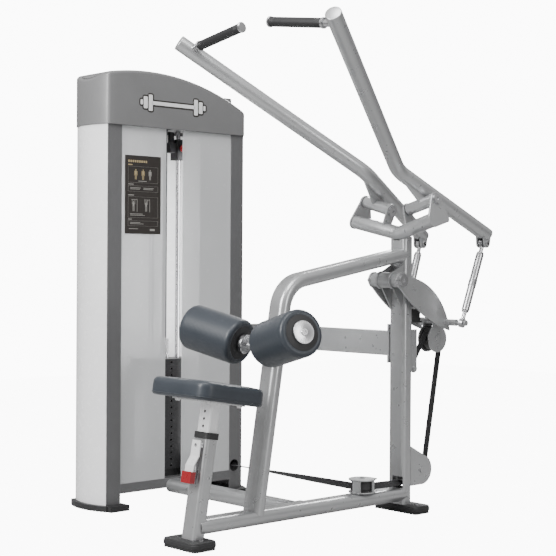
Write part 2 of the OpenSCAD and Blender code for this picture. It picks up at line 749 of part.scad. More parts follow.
// Stretches of belt that keep their place while the belt runs
module fixed_belts() color(black) {
    mid = belt_gap + belt_t / 2;
    // under the rear pulley, then through the upright to the base pulley
    low = rear_c[2] - pulley_r - mid;
    side = -base_r - mid;
    translate(rear_c) rotate([90, 0, 0]) belt_wrap(pulley_r, 270.5, 89 - run_lean);
    translate([rear_c[0] - stub, -belt_w / 2, low - belt_t / 2]) cube([stub, belt_w, belt_t]);
    turning_belt([rear_c[0] - stub, 0, low], [base_c[0] + stub, side, base_c[2]], belt_t, belt_w);
    translate([base_c[0], side - belt_t / 2, base_c[2] - belt_w / 2]) cube([stub, belt_t, belt_w]);
    translate(base_c) belt_wrap(base_r, 180.5, 89);
    // on to the tower, where it turns upwards
    translate([base_c[0] - base_r - mid - belt_t / 2, 0, base_c[2] - belt_w / 2]) cube([belt_t, stub, belt_w]);
    turning_belt([base_c[0] - base_r - mid, stub, base_c[2]],
        [turn_c[0], turn_c[1] - stub, turn_c[2] - turn_r - mid], belt_w, belt_t);
    translate([turn_c[0] - belt_w / 2, turn_c[1] - stub, turn_c[2] - turn_r - mid - belt_t / 2])
        cube([belt_w, stub, belt_t]);
    translate(turn_c) rotate([90, 0, 90]) belt_wrap(turn_r, 270.5, 89);
    // up the right column, with a quarter turn
    up = [turn_c[0], turn_c[1] + turn_r + mid, turn_c[2]];
    translate(up - [belt_w / 2, belt_t / 2, 0]) cube([belt_w, belt_t, stub]);
    translate(up + [0, 0, stub + 0.5])
        linear_extrude(top_pulley_z - up[2] - 2 * stub - 1, twist = 90, slices = 10, segments = 4)
            square([belt_w, belt_t], center = true);
    translate([top_right_x + tower_pulley_r + belt_gap, stack_c[1] - belt_w / 2, top_pulley_z - stub])
        cube([belt_t, belt_w, stub]);
    // over the two top pulleys
    translate([top_right_x, stack_c[1], top_pulley_z]) rotate([90, 0, 0]) belt_wrap(tower_pulley_r, 0.5, 89);
    translate([top_left_x, stack_c[1] - belt_w / 2, top_pulley_z + tower_pulley_r + belt_gap])
        cube([top_right_x - top_left_x, belt_w, belt_t]);
    translate([top_left_x, stack_c[1], top_pulley_z]) rotate([90, 0, 0]) belt_wrap(tower_pulley_r, 90.5, 89);
}

// Straight belt run in the centre plane from p to q
module belt_run(p, q, w = belt_w) {
    d = q - p;
    translate(p) rotate([0, 90 - atan2(d[2], d[0]), 0]) translate([-belt_t / 2, -w / 2, 0]) cube([belt_t, w, norm(d)]);
}
run_lean = atan2(moving_c[0] - rear_c[0], moving_c[2] - rear_c[2]);
run_off = (pulley_r + belt_gap + belt_t / 2) * [cos(run_lean), 0, -sin(run_lean)];
run_end = 12;               // belt that stays with the moving pulley at the end of each run
run_u = unit(moving_c - rear_c);
module belt_rear_run() color(black) belt_run(rear_c + run_off, moving_c + run_off - run_end * run_u);
module belt_rear_top() color(black) {
    belt_run(moving_c + run_off - (run_end - 0.5) * run_u, moving_c + run_off);
    // wrap over the moving pulley, from the rear run to the anchor run
    translate(moving_c) rotate([90, 0, 0]) belt_wrap(pulley_r, 0.5 - run_lean, 179 - anchor_lean + run_lean);
}

// Tangent from the anchor bolt to the inner side of the moving pulley
anchor_d = moving_c - anchor;
anchor_arm = pulley_r + belt_gap + belt_t / 2;
anchor_lean = atan2(anchor_d[0], anchor_d[2]) - asin(anchor_arm / norm(anchor_d));
anchor_len = sqrt(anchor_d * anchor_d - pow(anchor_arm, 2));
anchor_dir = [sin(anchor_lean), 0, cos(anchor_lean)];
module belt_anchor_run() color(black) difference() {
    union() {
        belt_run(anchor + 6 * anchor_dir, anchor + (anchor_len - run_end) * anchor_dir);
        along_y(-belt_w / 2, belt_w) translate([anchor[0], anchor[2]]) circle(9);
    }
    along_y(-30, 60) translate([anchor[0], anchor[2]]) circle(6 + slack);
}

module belt_anchor_top() color(black)
    belt_run(anchor + (anchor_len - run_end + 0.5) * anchor_dir, anchor + (anchor_len - 0.5) * anchor_dir);

module stack_belt() color(black)
    translate([stack_c[0] - belt_t / 2, stack_c[1] - belt_w / 2, plate_z(plate_n) + 82])
        cube([belt_t, belt_w, top_pulley_z - plate_z(plate_n) - 82]);

// ---- arms ----
arm_u = unit(arm_rear - arm_bend);
front_u = unit(arm_bend - arm_tip);
bend_clear = 70;            // solid stretch of tube at both sides of the bend
module arm_weldment() difference() {
    union() {
        bar(arm_tip, arm_bend, arm_d / 2);
        bar(arm_bend, arm_rear, arm_d / 2);
        translate(arm_bend) sphere(arm_d / 2 + 0.4);
        bar(arm_rear, arm_rear + 6 * arm_u, arm_d / 2 - 4);
        on_pivot() {
            along_y(-barrel_half, 2 * barrel_half) circle(barrel_r);
            along_y(4, 10) polygon([[-112, 112], [-22, 0], [20, 6], [74, 22], [-60, 100]]);
        }
        // fork that takes the top eye of the link rod
        for (y = [-21, 13]) along_y(link_top[1] + y, 8) {
            translate([link_top[0], link_top[2]]) circle(18);
            polygon([[link_top[0] - 18, link_top[2]], [link_top[0] + 18, link_top[2]],
                [link_top[0] + 24, arm_rear[2]], [link_top[0] - 20, arm_rear[2] + 4]]);
        }
    }
    // hollow of the two straight legs
    bar(arm_tip + 5 * front_u, arm_bend - bend_clear * front_u, arm_d / 2 - tube_wall);
    bar(arm_bend + bend_clear * arm_u, arm_rear - 80 * arm_u, arm_d / 2 - tube_wall);
    on_pivot() along_y(-barrel_half - 1, 2 * barrel_half + 2) circle(pivot_r + slack);
    // room for the eye between the ears
    along_y(link_top[1] - 13, 26) translate([link_top[0], link_top[2]]) circle(27);
    translate(link_top) rotate([90, 0, 0]) cylinder(r = 6, h = 80, center = true);
}
module fork_pin() {
    along_y(link_top[1] - 27, 54) translate([link_top[0], link_top[2]]) circle(6);
    for (y = [-27, 21]) along_y(link_top[1] + y, 6) translate([link_top[0], link_top[2]]) circle(11);
}
module whole_arm() color(silver) {
    arm_weldment();
    fork_pin();
}
module left_arm() whole_arm();
module right_arm() mirror([0, 1, 0]) whole_arm();

handle_u = unit(handle_tip - handle_root);
module handle() color(steel) {
    difference() {
        bar(handle_root, handle_root + (handle_len - 5) * handle_u, grip_d / 2 - 5);
        bar(arm_tip, arm_bend, arm_d / 2 + 0.05);
    }
    bar(handle_root + 105 * handle_u, handle_root + 114.8 * handle_u, grip_d / 2 + 2);
    bar(handle_root + (handle_len - 9.8) * handle_u, handle_tip, grip_d / 2 + 2);
}
module grip() color(black) difference() {
    bar(handle_root + 115 * handle_u, handle_root + (handle_len - 10) * handle_u, grip_d / 2);
    bar(handle_root + 100 * handle_u, handle_tip, grip_d / 2 - 5 + slack);
}
module left_handle() handle();
module right_handle() mirror([0, 1, 0]) handle();
module left_grip() grip();
module right_grip() mirror([0, 1, 0]) grip();

// ---- seat ----
module seat_post() color(white) on_seat_axis() {
    difference() {
        translate([0, 0, 150]) linear_extrude(seat_plate_l - 150)
            tube_section(seat_d - 2 * seat_wall - 4, seat_tube_w - 2 * seat_wall - 4, seat_r - 4.5, 3);
        for (i = [0:9]) translate([-seat_d / 2, 0, 225 + i * seat_hole_pitch])
            rotate([0, 90, 0]) cylinder(r = 5, h = 20, center = true);
    }
    translate([pad_shift / 2, 0, seat_plate_l]) linear_extrude(seat_plate_t) round_rect(170, 190, 10);
    for (x = [-80, 60], y = [-78, 78]) translate([x, y, seat_plate_l]) mirror([0, 0, 1]) bolt_head();
}

module seat_pad() color(slate) on_seat_axis() translate([pad_shift, 0, seat_plate_l + seat_plate_t])
    linear_extrude(seat_t) round_rect(seat_l, seat_w, pad_corner);

lever_pivot = [-31, 338];
module seat_lever() color(white) on_seat_axis() {
    // plate with its bent lower end, hung from a pivot pin
    along_y(-22, 44) polygon([[-36, 352], [-39.5, 352], [-39.5, 300], [-55, 268], [-55, 212], [-51.5, 212],
        [-51.5, 268.5], [-36, 300]]);
    for (y = [-22, 18]) along_y(y, 4) difference() {
        translate([-39, 330]) square([12, 16]);
        translate(lever_pivot) circle(3 + slack);
    }
    // red paddle
    along_y(-24, 48) translate([-64, 209]) square([20, 38]);
}

// ---- thigh rollers ----
module roller_bar() color(steel) {
    root = roller_root;
    mirrored() {
        bar(root, root + (roller_end + 3) * roller_dir, roller_bar_r);
        bar(root + (roller_start - 22) * roller_dir, root + (roller_start - 5) * roller_dir, 34);
        bar(root + (roller_end + 4) * roller_dir, root + (roller_end + 12) * roller_dir, 39);
        bar(root + (roller_end + 2) * roller_dir, root + (roller_end + 16) * roller_dir, 12);
    }
    translate(root) sphere(roller_bar_r);
    // stub and flange that carry the bar on the bent tube
    difference() {
        union() {
            bar(root, root + [90, 0, 6], 19);
            translate([-680, -30, 600]) rotate([0, lean, 0]) cube([8, 60, 96]);
        }
        swept(bent_bottom, bent_corner, bent_top, bent_bend_r) round_rect(tube_d + 0.2, oval_w + 0.2, oval_r);
    }
}

module roller() color(slate) difference() {
    bar(roller_root + roller_start * roller_dir, roller_root + roller_end * roller_dir, roller_d / 2);
    bar(roller_root, roller_root + 2 * roller_end * roller_dir, roller_bar_r + slack);
}
module left_roller() roller();
module right_roller() mirror([0, 1, 0]) roller();

// ---- fasteners ----
module frame_bolts() color(steel) {
    // brace flange
    for (z = [-60, 60]) translate([0, tube_w / 2 + 8, brace_z + z]) rotate([-90, 0, 0]) bolt_head();
    // cross tube flange on top of its bracket
    for (x = [-51, 51]) translate([cross_x + x, oval_w / 2 + 8, rail_z + 2]) rotate([-90, 0, 0]) bolt_head();
    // foot plates
    for (y = [-60, 60]) translate([-seat_reach - 8, y, floor_top]) bolt_head();
    for (y = [-78, 94]) translate([14, y, floor_top]) bolt_head();
    // pivot pin of the seat lever, held by two lugs
    on_seat_axis() {
        along_y(-21, 42) translate(lever_pivot) circle(3);
        for (y = [-17, 12]) along_y(y, 5) translate([-33.5, 333]) square([8.3, 10]);
    }
}

rear_upright();
base_rail();
bent_tube();
seat_tube();
seat_collar();
yoke();
pivot_shafts();
mid_brace();
cross_base_tube();
rubber_feet();
tower_columns();
tower_base();
tower_top_beam();
side_shells();
front_panels();
rear_panel();
tower_cap();
placard();
guide_rods();
stack_bumper();
weight_plates();
lever_bracket();
belt_anchor();
lever_stop();
lower_pulley_plates();
pulley_box();
fixed_belts();
frame_bolts();
roller_bar();
addon_weight();
lever_shaft();
lever_plates();
left_arm();
left_handle();
left_grip();
right_arm();
right_handle();
right_grip();
left_link_rod();
right_link_rod();
moving_pulley();
rear_pulley();
base_pulley();
tower_pulley();
top_pulley_right();
top_pulley_left();
lifted_plates();
selector_rod();
selector_pin();
addon_pin();
seat_post();
seat_pad();
seat_lever();
left_roller();
right_roller();
belt_rear_run();
belt_rear_top();
belt_anchor_run();
belt_anchor_top();
stack_belt();
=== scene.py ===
"""Looks of the lat pulldown machine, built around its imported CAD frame. Metres, in the frame's axes:
origin on the floor under the rear upright, +X the way the user faces, +Y towards the weight tower, +Z up."""
import json
import math

import bmesh
import bpy
from mathutils import Matrix, Vector


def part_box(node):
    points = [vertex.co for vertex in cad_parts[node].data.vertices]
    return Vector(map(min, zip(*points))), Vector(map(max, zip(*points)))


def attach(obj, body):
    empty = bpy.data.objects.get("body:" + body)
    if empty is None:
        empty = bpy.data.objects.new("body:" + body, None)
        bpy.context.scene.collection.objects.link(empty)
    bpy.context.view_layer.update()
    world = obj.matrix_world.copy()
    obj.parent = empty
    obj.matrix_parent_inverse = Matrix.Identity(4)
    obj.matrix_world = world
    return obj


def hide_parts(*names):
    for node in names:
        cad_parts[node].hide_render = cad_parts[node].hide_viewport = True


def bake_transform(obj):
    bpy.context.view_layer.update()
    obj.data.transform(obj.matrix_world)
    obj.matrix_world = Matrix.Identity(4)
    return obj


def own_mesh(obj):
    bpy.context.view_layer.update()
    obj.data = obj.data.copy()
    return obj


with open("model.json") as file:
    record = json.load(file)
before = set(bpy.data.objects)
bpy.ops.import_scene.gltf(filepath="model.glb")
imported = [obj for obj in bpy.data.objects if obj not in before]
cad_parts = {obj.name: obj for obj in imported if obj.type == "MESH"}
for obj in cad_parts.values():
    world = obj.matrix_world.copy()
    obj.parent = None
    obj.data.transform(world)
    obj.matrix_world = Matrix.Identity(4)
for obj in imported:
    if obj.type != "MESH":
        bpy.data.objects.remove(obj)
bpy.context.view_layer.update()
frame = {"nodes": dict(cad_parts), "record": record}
NODES = frame["nodes"]
RECORD = frame["record"]
JOINTS = {j["name"]: j for j in RECORD["behaviour"]["joints"]}
SLOT_OF = {s["node"]: s["material_slot"] for s in RECORD["subparts"]}
SIDES = (("left", 1), ("right", -1))
X, Y, UP = Vector((1, 0, 0)), Vector((0, 1, 0)), Vector((0, 0, 1))


def mm(*v):
    """A point or direction given in millimetres."""
    return Vector(v) * 0.001


def joint_at(name):
    """Where a joint sits, in metres."""
    return Vector(JOINTS[name]["pos_m"])


def sided(v, side):
    """A point of the tower's side, or its mirror image across the centre plane."""
    return Vector((v[0], v[1] * side, v[2]))


# ---- materials ----
def new_material(name):
    """An empty node material, its tree, its output node and its object-space coordinate."""
    m = bpy.data.materials.new(name)
    m.use_nodes = True
    nt = m.node_tree
    nt.nodes.clear()
    out = nt.nodes.new("ShaderNodeOutputMaterial")
    coord = nt.nodes.new("ShaderNodeTexCoord")
    return m, nt, out, coord.outputs["Object"]


def noise(nt, coord, scale, detail=3.0, stretch=None):
    if stretch:
        mapping = nt.nodes.new("ShaderNodeMapping")
        mapping.inputs["Scale"].default_value = stretch
        nt.links.new(coord, mapping.inputs["Vector"])
        coord = mapping.outputs["Vector"]
    n = nt.nodes.new("ShaderNodeTexNoise")
    n.inputs["Scale"].default_value = scale
    n.inputs["Detail"].default_value = detail
    nt.links.new(coord, n.inputs["Vector"])
    return n.outputs["Fac"]


def remap(nt, value, lo, hi):
    """Stretches the middle of a noise value to the range lo..hi."""
    r = nt.nodes.new("ShaderNodeMapRange")
    r.inputs["From Min"].default_value = 0.3
    r.inputs["From Max"].default_value = 0.7
    r.inputs["To Min"].default_value = lo
    r.inputs["To Max"].default_value = hi
    nt.links.new(value, r.inputs["Value"])
    return r.outputs["Result"]


def mix_color(nt, fac, a, b):
    """Mixes two colours, each a tuple or a socket."""
    m = nt.nodes.new("ShaderNodeMix")
    m.data_type = "RGBA"
    nt.links.new(fac, m.inputs["Factor"])
    for socket, value in ((m.inputs[6], a), (m.inputs[7], b)):
        if isinstance(value, tuple):
            socket.default_value = (*value, 1.0)
        else:
            nt.links.new(value, socket)
    return m.outputs[2]


def bump(nt, height, strength, distance, normal=None):
    b = nt.nodes.new("ShaderNodeBump")
    b.inputs["Strength"].default_value = strength
    b.inputs["Distance"].default_value = distance
    nt.links.new(height, b.inputs["Height"])
    if normal is not None:
        nt.links.new(normal, b.inputs["Normal"])
    return b.outputs["Normal"]


def soft_edges(nt, radius):
    """Rounds hard edges in the shading."""
    b = nt.nodes.new("ShaderNodeBevel")
    b.samples = 8
    b.inputs["Radius"].default_value = radius
    return b.outputs["Normal"]


def edge_mask(nt, radius):
    """1 where the surface turns sharply within the radius, 0 on flats."""
    g = nt.nodes.new("ShaderNodeNewGeometry")
    dot = nt.nodes.new("ShaderNodeVectorMath")
    dot.operation = "DOT_PRODUCT"
    nt.links.new(soft_edges(nt, radius), dot.inputs[0])
    nt.links.new(g.outputs["Normal"], dot.inputs[1])
    r = nt.nodes.new("ShaderNodeMapRange")
    r.inputs["From Min"].default_value = 0.97
    r.inputs["From Max"].default_value = 0.80
    nt.links.new(dot.outputs["Value"], r.inputs["Value"])
    return r.outputs["Result"]


def finish(nt, out, shader, **values):
    """Sets plain inputs of a shader by name and sends it to the output."""
    for name, value in values.items():
        shader.inputs[name.replace("_", " ")].default_value = value
    nt.links.new(shader.outputs["BSDF"], out.inputs["Surface"])


def coated(name, color, rough, metal, grain=900.0, depth=0.00006, tone=0.06, coat=0.0, edge=0.0012,
           painted_edge_light=None):
    """Painted, plated or moulded finish: fine grain, slow tone changes, soft edges, and, when
    painted_edge_light is given, a painted highlight (lighter colour) or painted shade (darker colour) along
    sharp edges.
    """
    m, nt, out, coord = new_material(name)
    p = nt.nodes.new("ShaderNodeBsdfPrincipled")
    dark = tuple(c * (1 - tone) for c in color)
    light = tuple(min(1.0, c * (1 + tone)) for c in color)
    shade = mix_color(nt, noise(nt, coord, 6.0, 4.0), dark, light)
    # painted highlight or painted shade: the given colour is mixed in along sharp edges
    if painted_edge_light:
        shade = mix_color(nt, edge_mask(nt, 0.0014), shade, painted_edge_light)
    nt.links.new(shade, p.inputs["Base Color"])
    nt.links.new(remap(nt, noise(nt, coord, 35.0, 5.0), rough * 0.85, rough * 1.15), p.inputs["Roughness"])
    normal = soft_edges(nt, edge) if edge else None
    if depth:
        normal = bump(nt, noise(nt, coord, grain, 2.0), 0.5, depth, normal)
    if normal:
        nt.links.new(normal, p.inputs["Normal"])
    finish(nt, out, p, Metallic=metal, Coat_Weight=coat, Coat_Roughness=0.15)
    return m


def turned_steel(name, color, rough, stretch):
    """Bright plated steel with the faint lines that turning or drawing leaves."""
    m, nt, out, coord = new_material(name)
    p = nt.nodes.new("ShaderNodeBsdfPrincipled")
    lines = noise(nt, coord, 60.0, 2.0, stretch)
    nt.links.new(mix_color(nt, lines, tuple(c * 0.97 for c in color), color), p.inputs["Base Color"])
    nt.links.new(remap(nt, lines, rough * 0.95, rough * 1.05), p.inputs["Roughness"])
    finish(nt, out, p, Metallic=1.0)
    return m


def vinyl(name, color):
    """Upholstery vinyl: pebbled grain, fine wrinkles, a soft sheen and a slight tone change over the pad."""
    m, nt, out, coord = new_material(name)
    p = nt.nodes.new("ShaderNodeBsdfPrincipled")
    pebble = nt.nodes.new("ShaderNodeTexVoronoi")
    pebble.feature = "SMOOTH_F1"
    pebble.inputs["Scale"].default_value = 620.0
    nt.links.new(coord, pebble.inputs["Vector"])
    cells = pebble.outputs["Distance"]
    slow = noise(nt, coord, 9.0, 4.0)
    tone = mix_color(nt, slow, tuple(c * 0.88 for c in color), tuple(c * 1.14 for c in color))
    nt.links.new(mix_color(nt, cells, tone, tuple(c * 0.8 for c in color)), p.inputs["Base Color"])
    nt.links.new(remap(nt, slow, 0.38, 0.5), p.inputs["Roughness"])
    wrinkle = bump(nt, noise(nt, coord, 40.0, 3.0), 0.2, 0.0005)
    nt.links.new(bump(nt, cells, 0.35, 0.0002, wrinkle), p.inputs["Normal"])
    finish(nt, out, p, Sheen_Weight=0.1, Sheen_Roughness=0.4, Coat_Weight=0.12, Coat_Roughness=0.25)
    return m


def frosted(name):
    """Frosted sheet: milky and softly glossy, with a faint view of what stands behind it."""
    m, nt, out, coord = new_material(name)
    p = nt.nodes.new("ShaderNodeBsdfPrincipled")
    cloud = noise(nt, coord, 3.0, 2.0)
    nt.links.new(mix_color(nt, cloud, (0.70, 0.71, 0.72), (0.77, 0.78, 0.79)), p.inputs["Base Color"])
    nt.links.new(remap(nt, noise(nt, coord, 60.0, 3.0), 0.20, 0.28), p.inputs["Roughness"])
    nt.links.new(bump(nt, noise(nt, coord, 900.0, 2.0), 0.2, 0.00003), p.inputs["Normal"])
    finish(nt, out, p, Alpha=0.58, Coat_Weight=0.4, Coat_Roughness=0.08)
    return m


def belt_web(name):
    """Flat drive belt: black rubber with a fine diagonal weave."""
    m, nt, out, coord = new_material(name)
    p = nt.nodes.new("ShaderNodeBsdfPrincipled")
    weave = nt.nodes.new("ShaderNodeTexWave")
    weave.bands_direction = "DIAGONAL"
    weave.inputs["Scale"].default_value = 260.0
    weave.inputs["Distortion"].default_value = 1.5
    nt.links.new(coord, weave.inputs["Vector"])
    threads = weave.outputs["Fac"]
    nt.links.new(mix_color(nt, threads, (0.012, 0.012, 0.013), (0.04, 0.04, 0.042)), p.inputs["Base Color"])
    nt.links.new(bump(nt, threads, 0.4, 0.0002), p.inputs["Normal"])
    finish(nt, out, p, Roughness=0.55)
    return m


SILVER = {"color": (0.47, 0.475, 0.48), "rough": 0.31, "metal": 0.7, "depth": 0, "tone": 0.03, "coat": 0.25}
MATERIALS = {
    "frame_silver": coated("frame_silver", **SILVER),
    # tower_grey: its lighter edges are a painted highlight
    "tower_grey": coated("tower_grey", (0.135, 0.135, 0.138), 0.38, 0.2, coat=0.12, painted_edge_light=(0.2, 0.2, 0.2)),
    "cap_grey": coated("cap_grey", (0.17, 0.17, 0.172), 0.4, 0.05, grain=700.0, coat=0.15, edge=0.003),
    "shell_white": coated("shell_white", (0.92, 0.92, 0.925), 0.26, 0.0, coat=0.4, edge=0.002),
    "frosted_panel": frosted("frosted_panel"),
    "placard_dark": coated("placard_dark", (0.024, 0.020, 0.017), 0.42, 0.0),
    # plate_black: its lighter edges are a painted highlight
    "plate_black": coated("plate_black", (0.032, 0.032, 0.034), 0.5, 0.3, grain=300.0, depth=0.0002,
                          painted_edge_light=(0.09, 0.09, 0.09)),
    "bright_steel": turned_steel("bright_steel", (0.58, 0.58, 0.59), 0.26, (1.0, 1.0, 0.25)),
    "black_rubber": coated("black_rubber", (0.018, 0.018, 0.019), 0.55, 0.0, grain=500.0, depth=0.0002),
    "grip_rubber": coated("grip_rubber", (0.014, 0.014, 0.015), 0.5, 0.0, grain=1600.0, depth=0.0002),
    "belt_black": belt_web("belt_black"),
    "pulley_black": coated("pulley_black", (0.02, 0.02, 0.021), 0.35, 0.0, tone=0.15),
    "red_plastic": coated("red_plastic", (0.28, 0.008, 0.012), 0.3, 0.0, coat=0.4),
    # seat_white: its darker edges are painted shade
    "seat_white": coated("seat_white", (0.86, 0.86, 0.865), 0.3, 0.1, coat=0.3, painted_edge_light=(0.6, 0.6, 0.6)),
    "slate_vinyl": vinyl("slate_vinyl", (0.026, 0.033, 0.043)),
}
TUBE_SILVER = coated("tube_silver", **SILVER, edge=0)  # for meshes whose edges are already round
PRINT_WHITE = coated("print_white", (0.80, 0.80, 0.80), 0.4, 0.0)
PRINT_PALE = coated("print_pale", (0.30, 0.29, 0.27), 0.5, 0.0)
PRINT_GOLD = coated("print_gold", (0.42, 0.33, 0.18), 0.45, 0.1)


# ---- mesh helpers ----
def frame_of(z, x=None):
    """Rotation matrix whose third column points along z, with its first column as near to x as it can be."""
    z = z.normalized()
    x = X if x is None else x
    if abs(z.dot(x.normalized())) > 0.99:
        x = Y
    y = z.cross(x).normalized()
    return Matrix((y.cross(z), y, z)).transposed()


def turns(count):
    """Equal angles round a full turn, without its end."""
    return (2 * math.pi * i / count for i in range(count))


def circle(origin, rot, r, h, seg):
    """Ring of points of radius r, h along the third axis of rot. Millimetres."""
    return [origin + rot @ mm(r * math.cos(a), r * math.sin(a), h) for a in turns(seg)]


def add_rings(bm, rings, ends="closed"):
    """Skins a list of rings, each a list of points of equal number. The ends are closed, open or joined."""
    loops = [[bm.verts.new(p) for p in ring] for ring in rings]
    n = len(loops[0])
    for a, b in zip(loops, loops[1:] + loops[:1] if ends == "joined" else loops[1:]):
        for i in range(n):
            bm.faces.new((a[i], a[(i + 1) % n], b[(i + 1) % n], b[i]))
    if ends == "closed":
        bm.faces.new(list(reversed(loops[0])))
        bm.faces.new(loops[-1])
    return loops


def add_lathe(bm, origin, axis, profile, seg=64, ends="closed"):
    """Turns a profile of (radius, height) points in millimetres round an axis."""
    rot = frame_of(axis)
    add_rings(bm, [circle(origin, rot, r, h, seg) for r, h in profile], ends)


def add_sleeve(bm, origin, axis, profile, seg=64):
    """Turns a closed profile round an axis, which leaves its bore open."""
    add_lathe(bm, origin, axis, profile, seg, "joined")


def add_sweep(bm, path, rots, radii, seg, ends="closed"):
    """Skins circles set across a path, one turning matrix and one radius for each point."""
    add_rings(bm, [circle(p, rot, r, 0, seg) for p, rot, r in zip(path, rots, radii)], ends)


def bent_path(a, b, c, bend, steps=16):
    """Points from a to c round the corner b, on an arc of radius bend."""
    u, v = (a - b).normalized(), (c - b).normalized()
    half = u.angle(v) / 2
    centre = b + (u + v).normalized() * bend / math.sin(half)
    start, stop = b + u * bend / math.tan(half), b + v * bend / math.tan(half)
    e, turn = start - centre, math.pi - 2 * half
    n = e.cross(stop - centre).normalized()
    arc = [centre + Matrix.Rotation(turn * i / steps, 3, n) @ e for i in range(steps + 1)]
    return [a, *arc, c]


def add_tube(bm, points, r, seg=48, round_mm=3.0):
    """Round tube along a path, closed at both ends with a small round edge. Radius in millimetres."""
    start, stop = (points[1] - points[0]).normalized(), (points[-1] - points[-2]).normalized()
    edge = [(r - round_mm * (1 - math.sin(t)), round_mm * (1 - math.cos(t)))
            for t in (math.radians(a) for a in (0, 30, 60))]
    edge.append((r, round_mm))
    stations = [(points[0] + start * (h / 1000), rr) for rr, h in edge]
    stations += [(p, r) for p in points[1:-1]]
    stations += [(points[-1] - stop * (h / 1000), rr) for rr, h in reversed(edge)]
    path, radii = zip(*stations)
    x = frame_of(start).col[0].copy()
    rots = []
    for i in range(len(path)):
        rots.append(frame_of(path[min(i + 1, len(path) - 1)] - path[max(i - 1, 0)], x))
        x = rots[-1].col[0].copy()
    add_sweep(bm, path, rots, radii, seg)


def rounded(corners, steps=6):
    """Outline through (x, y, radius) corners with round corners, as a list of 2-D points."""
    out = []
    for i, (x, y, r) in enumerate(corners):
        p = Vector((x, y))
        a = (Vector(corners[i - 1][:2]) - p).normalized()
        b = (Vector(corners[(i + 1) % len(corners)][:2]) - p).normalized()
        half = math.acos(max(-1, min(1, a.dot(b)))) / 2
        if r <= 0 or half > 1.55:
            out.append(p)
            continue
        centre = p + (a + b).normalized() * r / math.sin(half)
        s, t = p + a * r / math.tan(half) - centre, p + b * r / math.tan(half) - centre
        turn = s.angle_signed(t)
        out += [centre + Matrix.Rotation(-turn * k / steps, 2) @ s for k in range(steps + 1)]
    return out


def rounded_box(w, h, r, steps=6):
    """Outline of a centred rectangle with round corners, counter-clockwise."""
    return rounded([(w / 2, -h / 2, r), (w / 2, h / 2, r), (-w / 2, h / 2, r), (-w / 2, -h / 2, r)], steps)


def add_plate(bm, outline, t, place, edge=1.0):
    """Plate of thickness t with eased edges, from a 2-D outline in millimetres, placed by a 4x4 matrix."""
    n = len(outline)
    normals = []
    for i, p in enumerate(outline):
        d = (outline[(i + 1) % n] - outline[i - 1]).normalized()
        normals.append(Vector((-d.y, d.x)))
    area = sum(outline[i - 1].x * outline[i].y - outline[i].x * outline[i - 1].y for i in range(n))
    inward = 1 if area > 0 else -1
    inset = [p + nrm * edge * inward for p, nrm in zip(outline, normals)]
    rings = [[place @ mm(q.x, q.y, h) for q in ring] for ring, h in
             ((inset, 0), (outline, edge), (outline, t - edge), (inset, t))]
    add_rings(bm, rings)


def place_at(origin, x, y):
    """4x4 matrix that draws x and y of an outline along two directions, with z along their cross product."""
    m = Matrix((x, y, x.cross(y))).transposed().to_4x4()
    m.translation = origin
    return m


def facing_front(x, y, z):
    """Placement of an outline drawn as (height, width) in the plane of the tower's front, in millimetres."""
    return place_at(mm(x, y, z), UP, X)


def to_object(name, data):
    """Puts a mesh, lamp or camera into the scene."""
    if isinstance(data, bmesh.types.BMesh):
        bm, data = data, bpy.data.meshes.new(name)
        bm.to_mesh(data)
        bm.free()
    obj = bpy.data.objects.new(name, data)
    bpy.context.scene.collection.objects.link(obj)
    return obj


def make(name, bm, slot, body=None, stands_for=(), sharp=0.6, materials=None):
    """Turns a bmesh into a finished piece that rides on a body."""
    bmesh.ops.remove_doubles(bm, verts=bm.verts, dist=1e-6)
    bmesh.ops.recalc_face_normals(bm, faces=bm.faces)
    for f in bm.faces:
        f.smooth = True
    for e in bm.edges:
        if len(e.link_faces) == 2 and e.calc_face_angle(0) > sharp:
            e.smooth = False
    obj = to_object(name, bm)
    for m in materials or [MATERIALS[slot]]:
        obj.data.materials.append(m)
    if body:
        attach(obj, body)
    if stands_for:
        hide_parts(*stands_for)
    return obj


def hull(circles):
    """Outline that wraps round a few circles, each (x, y, radius)."""
    pts = sorted((x + r * math.cos(a), y + r * math.sin(a)) for x, y, r in circles for a in turns(40))
    out = []
    for run in (pts, list(reversed(pts))):
        side = []
        for p in run:
            while len(side) > 1 and ((side[-1][0] - side[-2][0]) * (p[1] - side[-2][1])
                                     - (side[-1][1] - side[-2][1]) * (p[0] - side[-2][0])) <= 1e-9:
                side.pop()
            side.append(p)
        out += side[:-1]
    return [Vector(p) for p in out]


def paint(bm, first, index):
    """Gives the faces added since number first a material index."""
    bm.faces.ensure_lookup_table()
    for f in bm.faces[first:]:
        f.material_index = index


def arc_profile(cx, cy, r, a0, a1, steps=6):
    """Points of a profile on an arc, angles in degrees."""
    angles = (math.radians(a0 + (a1 - a0) * k / steps) for k in range(steps + 1))
    return [(cx + r * math.cos(a), cy + r * math.sin(a)) for a in angles]


def temp_object(bm):
    """Working object in the scene, which bmesh_of() removes again."""
    bmesh.ops.recalc_face_normals(bm, faces=bm.faces)
    return to_object("temp", bm)


def baked(obj):
    """New mesh of an object with its modifiers applied, which are then removed."""
    bpy.context.view_layer.update()
    mesh = bpy.data.meshes.new_from_object(obj.evaluated_get(bpy.context.evaluated_depsgraph_get()))
    obj.modifiers.clear()
    return mesh


def bmesh_of(mesh, *objects):
    """A mesh as a bmesh; the working objects are removed."""
    for obj in objects:
        bpy.data.objects.remove(obj)
    out = bmesh.new()
    out.from_mesh(mesh)
    return out


def carve(bm, cutter):
    """The first solid less the second one."""
    a, b = temp_object(bm), temp_object(cutter)
    cut = a.modifiers.new("cut", "BOOLEAN")
    cut.object, cut.operation, cut.solver = b, "DIFFERENCE", "EXACT"
    return bmesh_of(baked(a), a, b)


def mirror_y(bm):
    """Mirrors across the centre plane."""
    bmesh.ops.scale(bm, vec=(1, -1, 1), verts=bm.verts)
    bmesh.ops.reverse_faces(bm, faces=bm.faces)


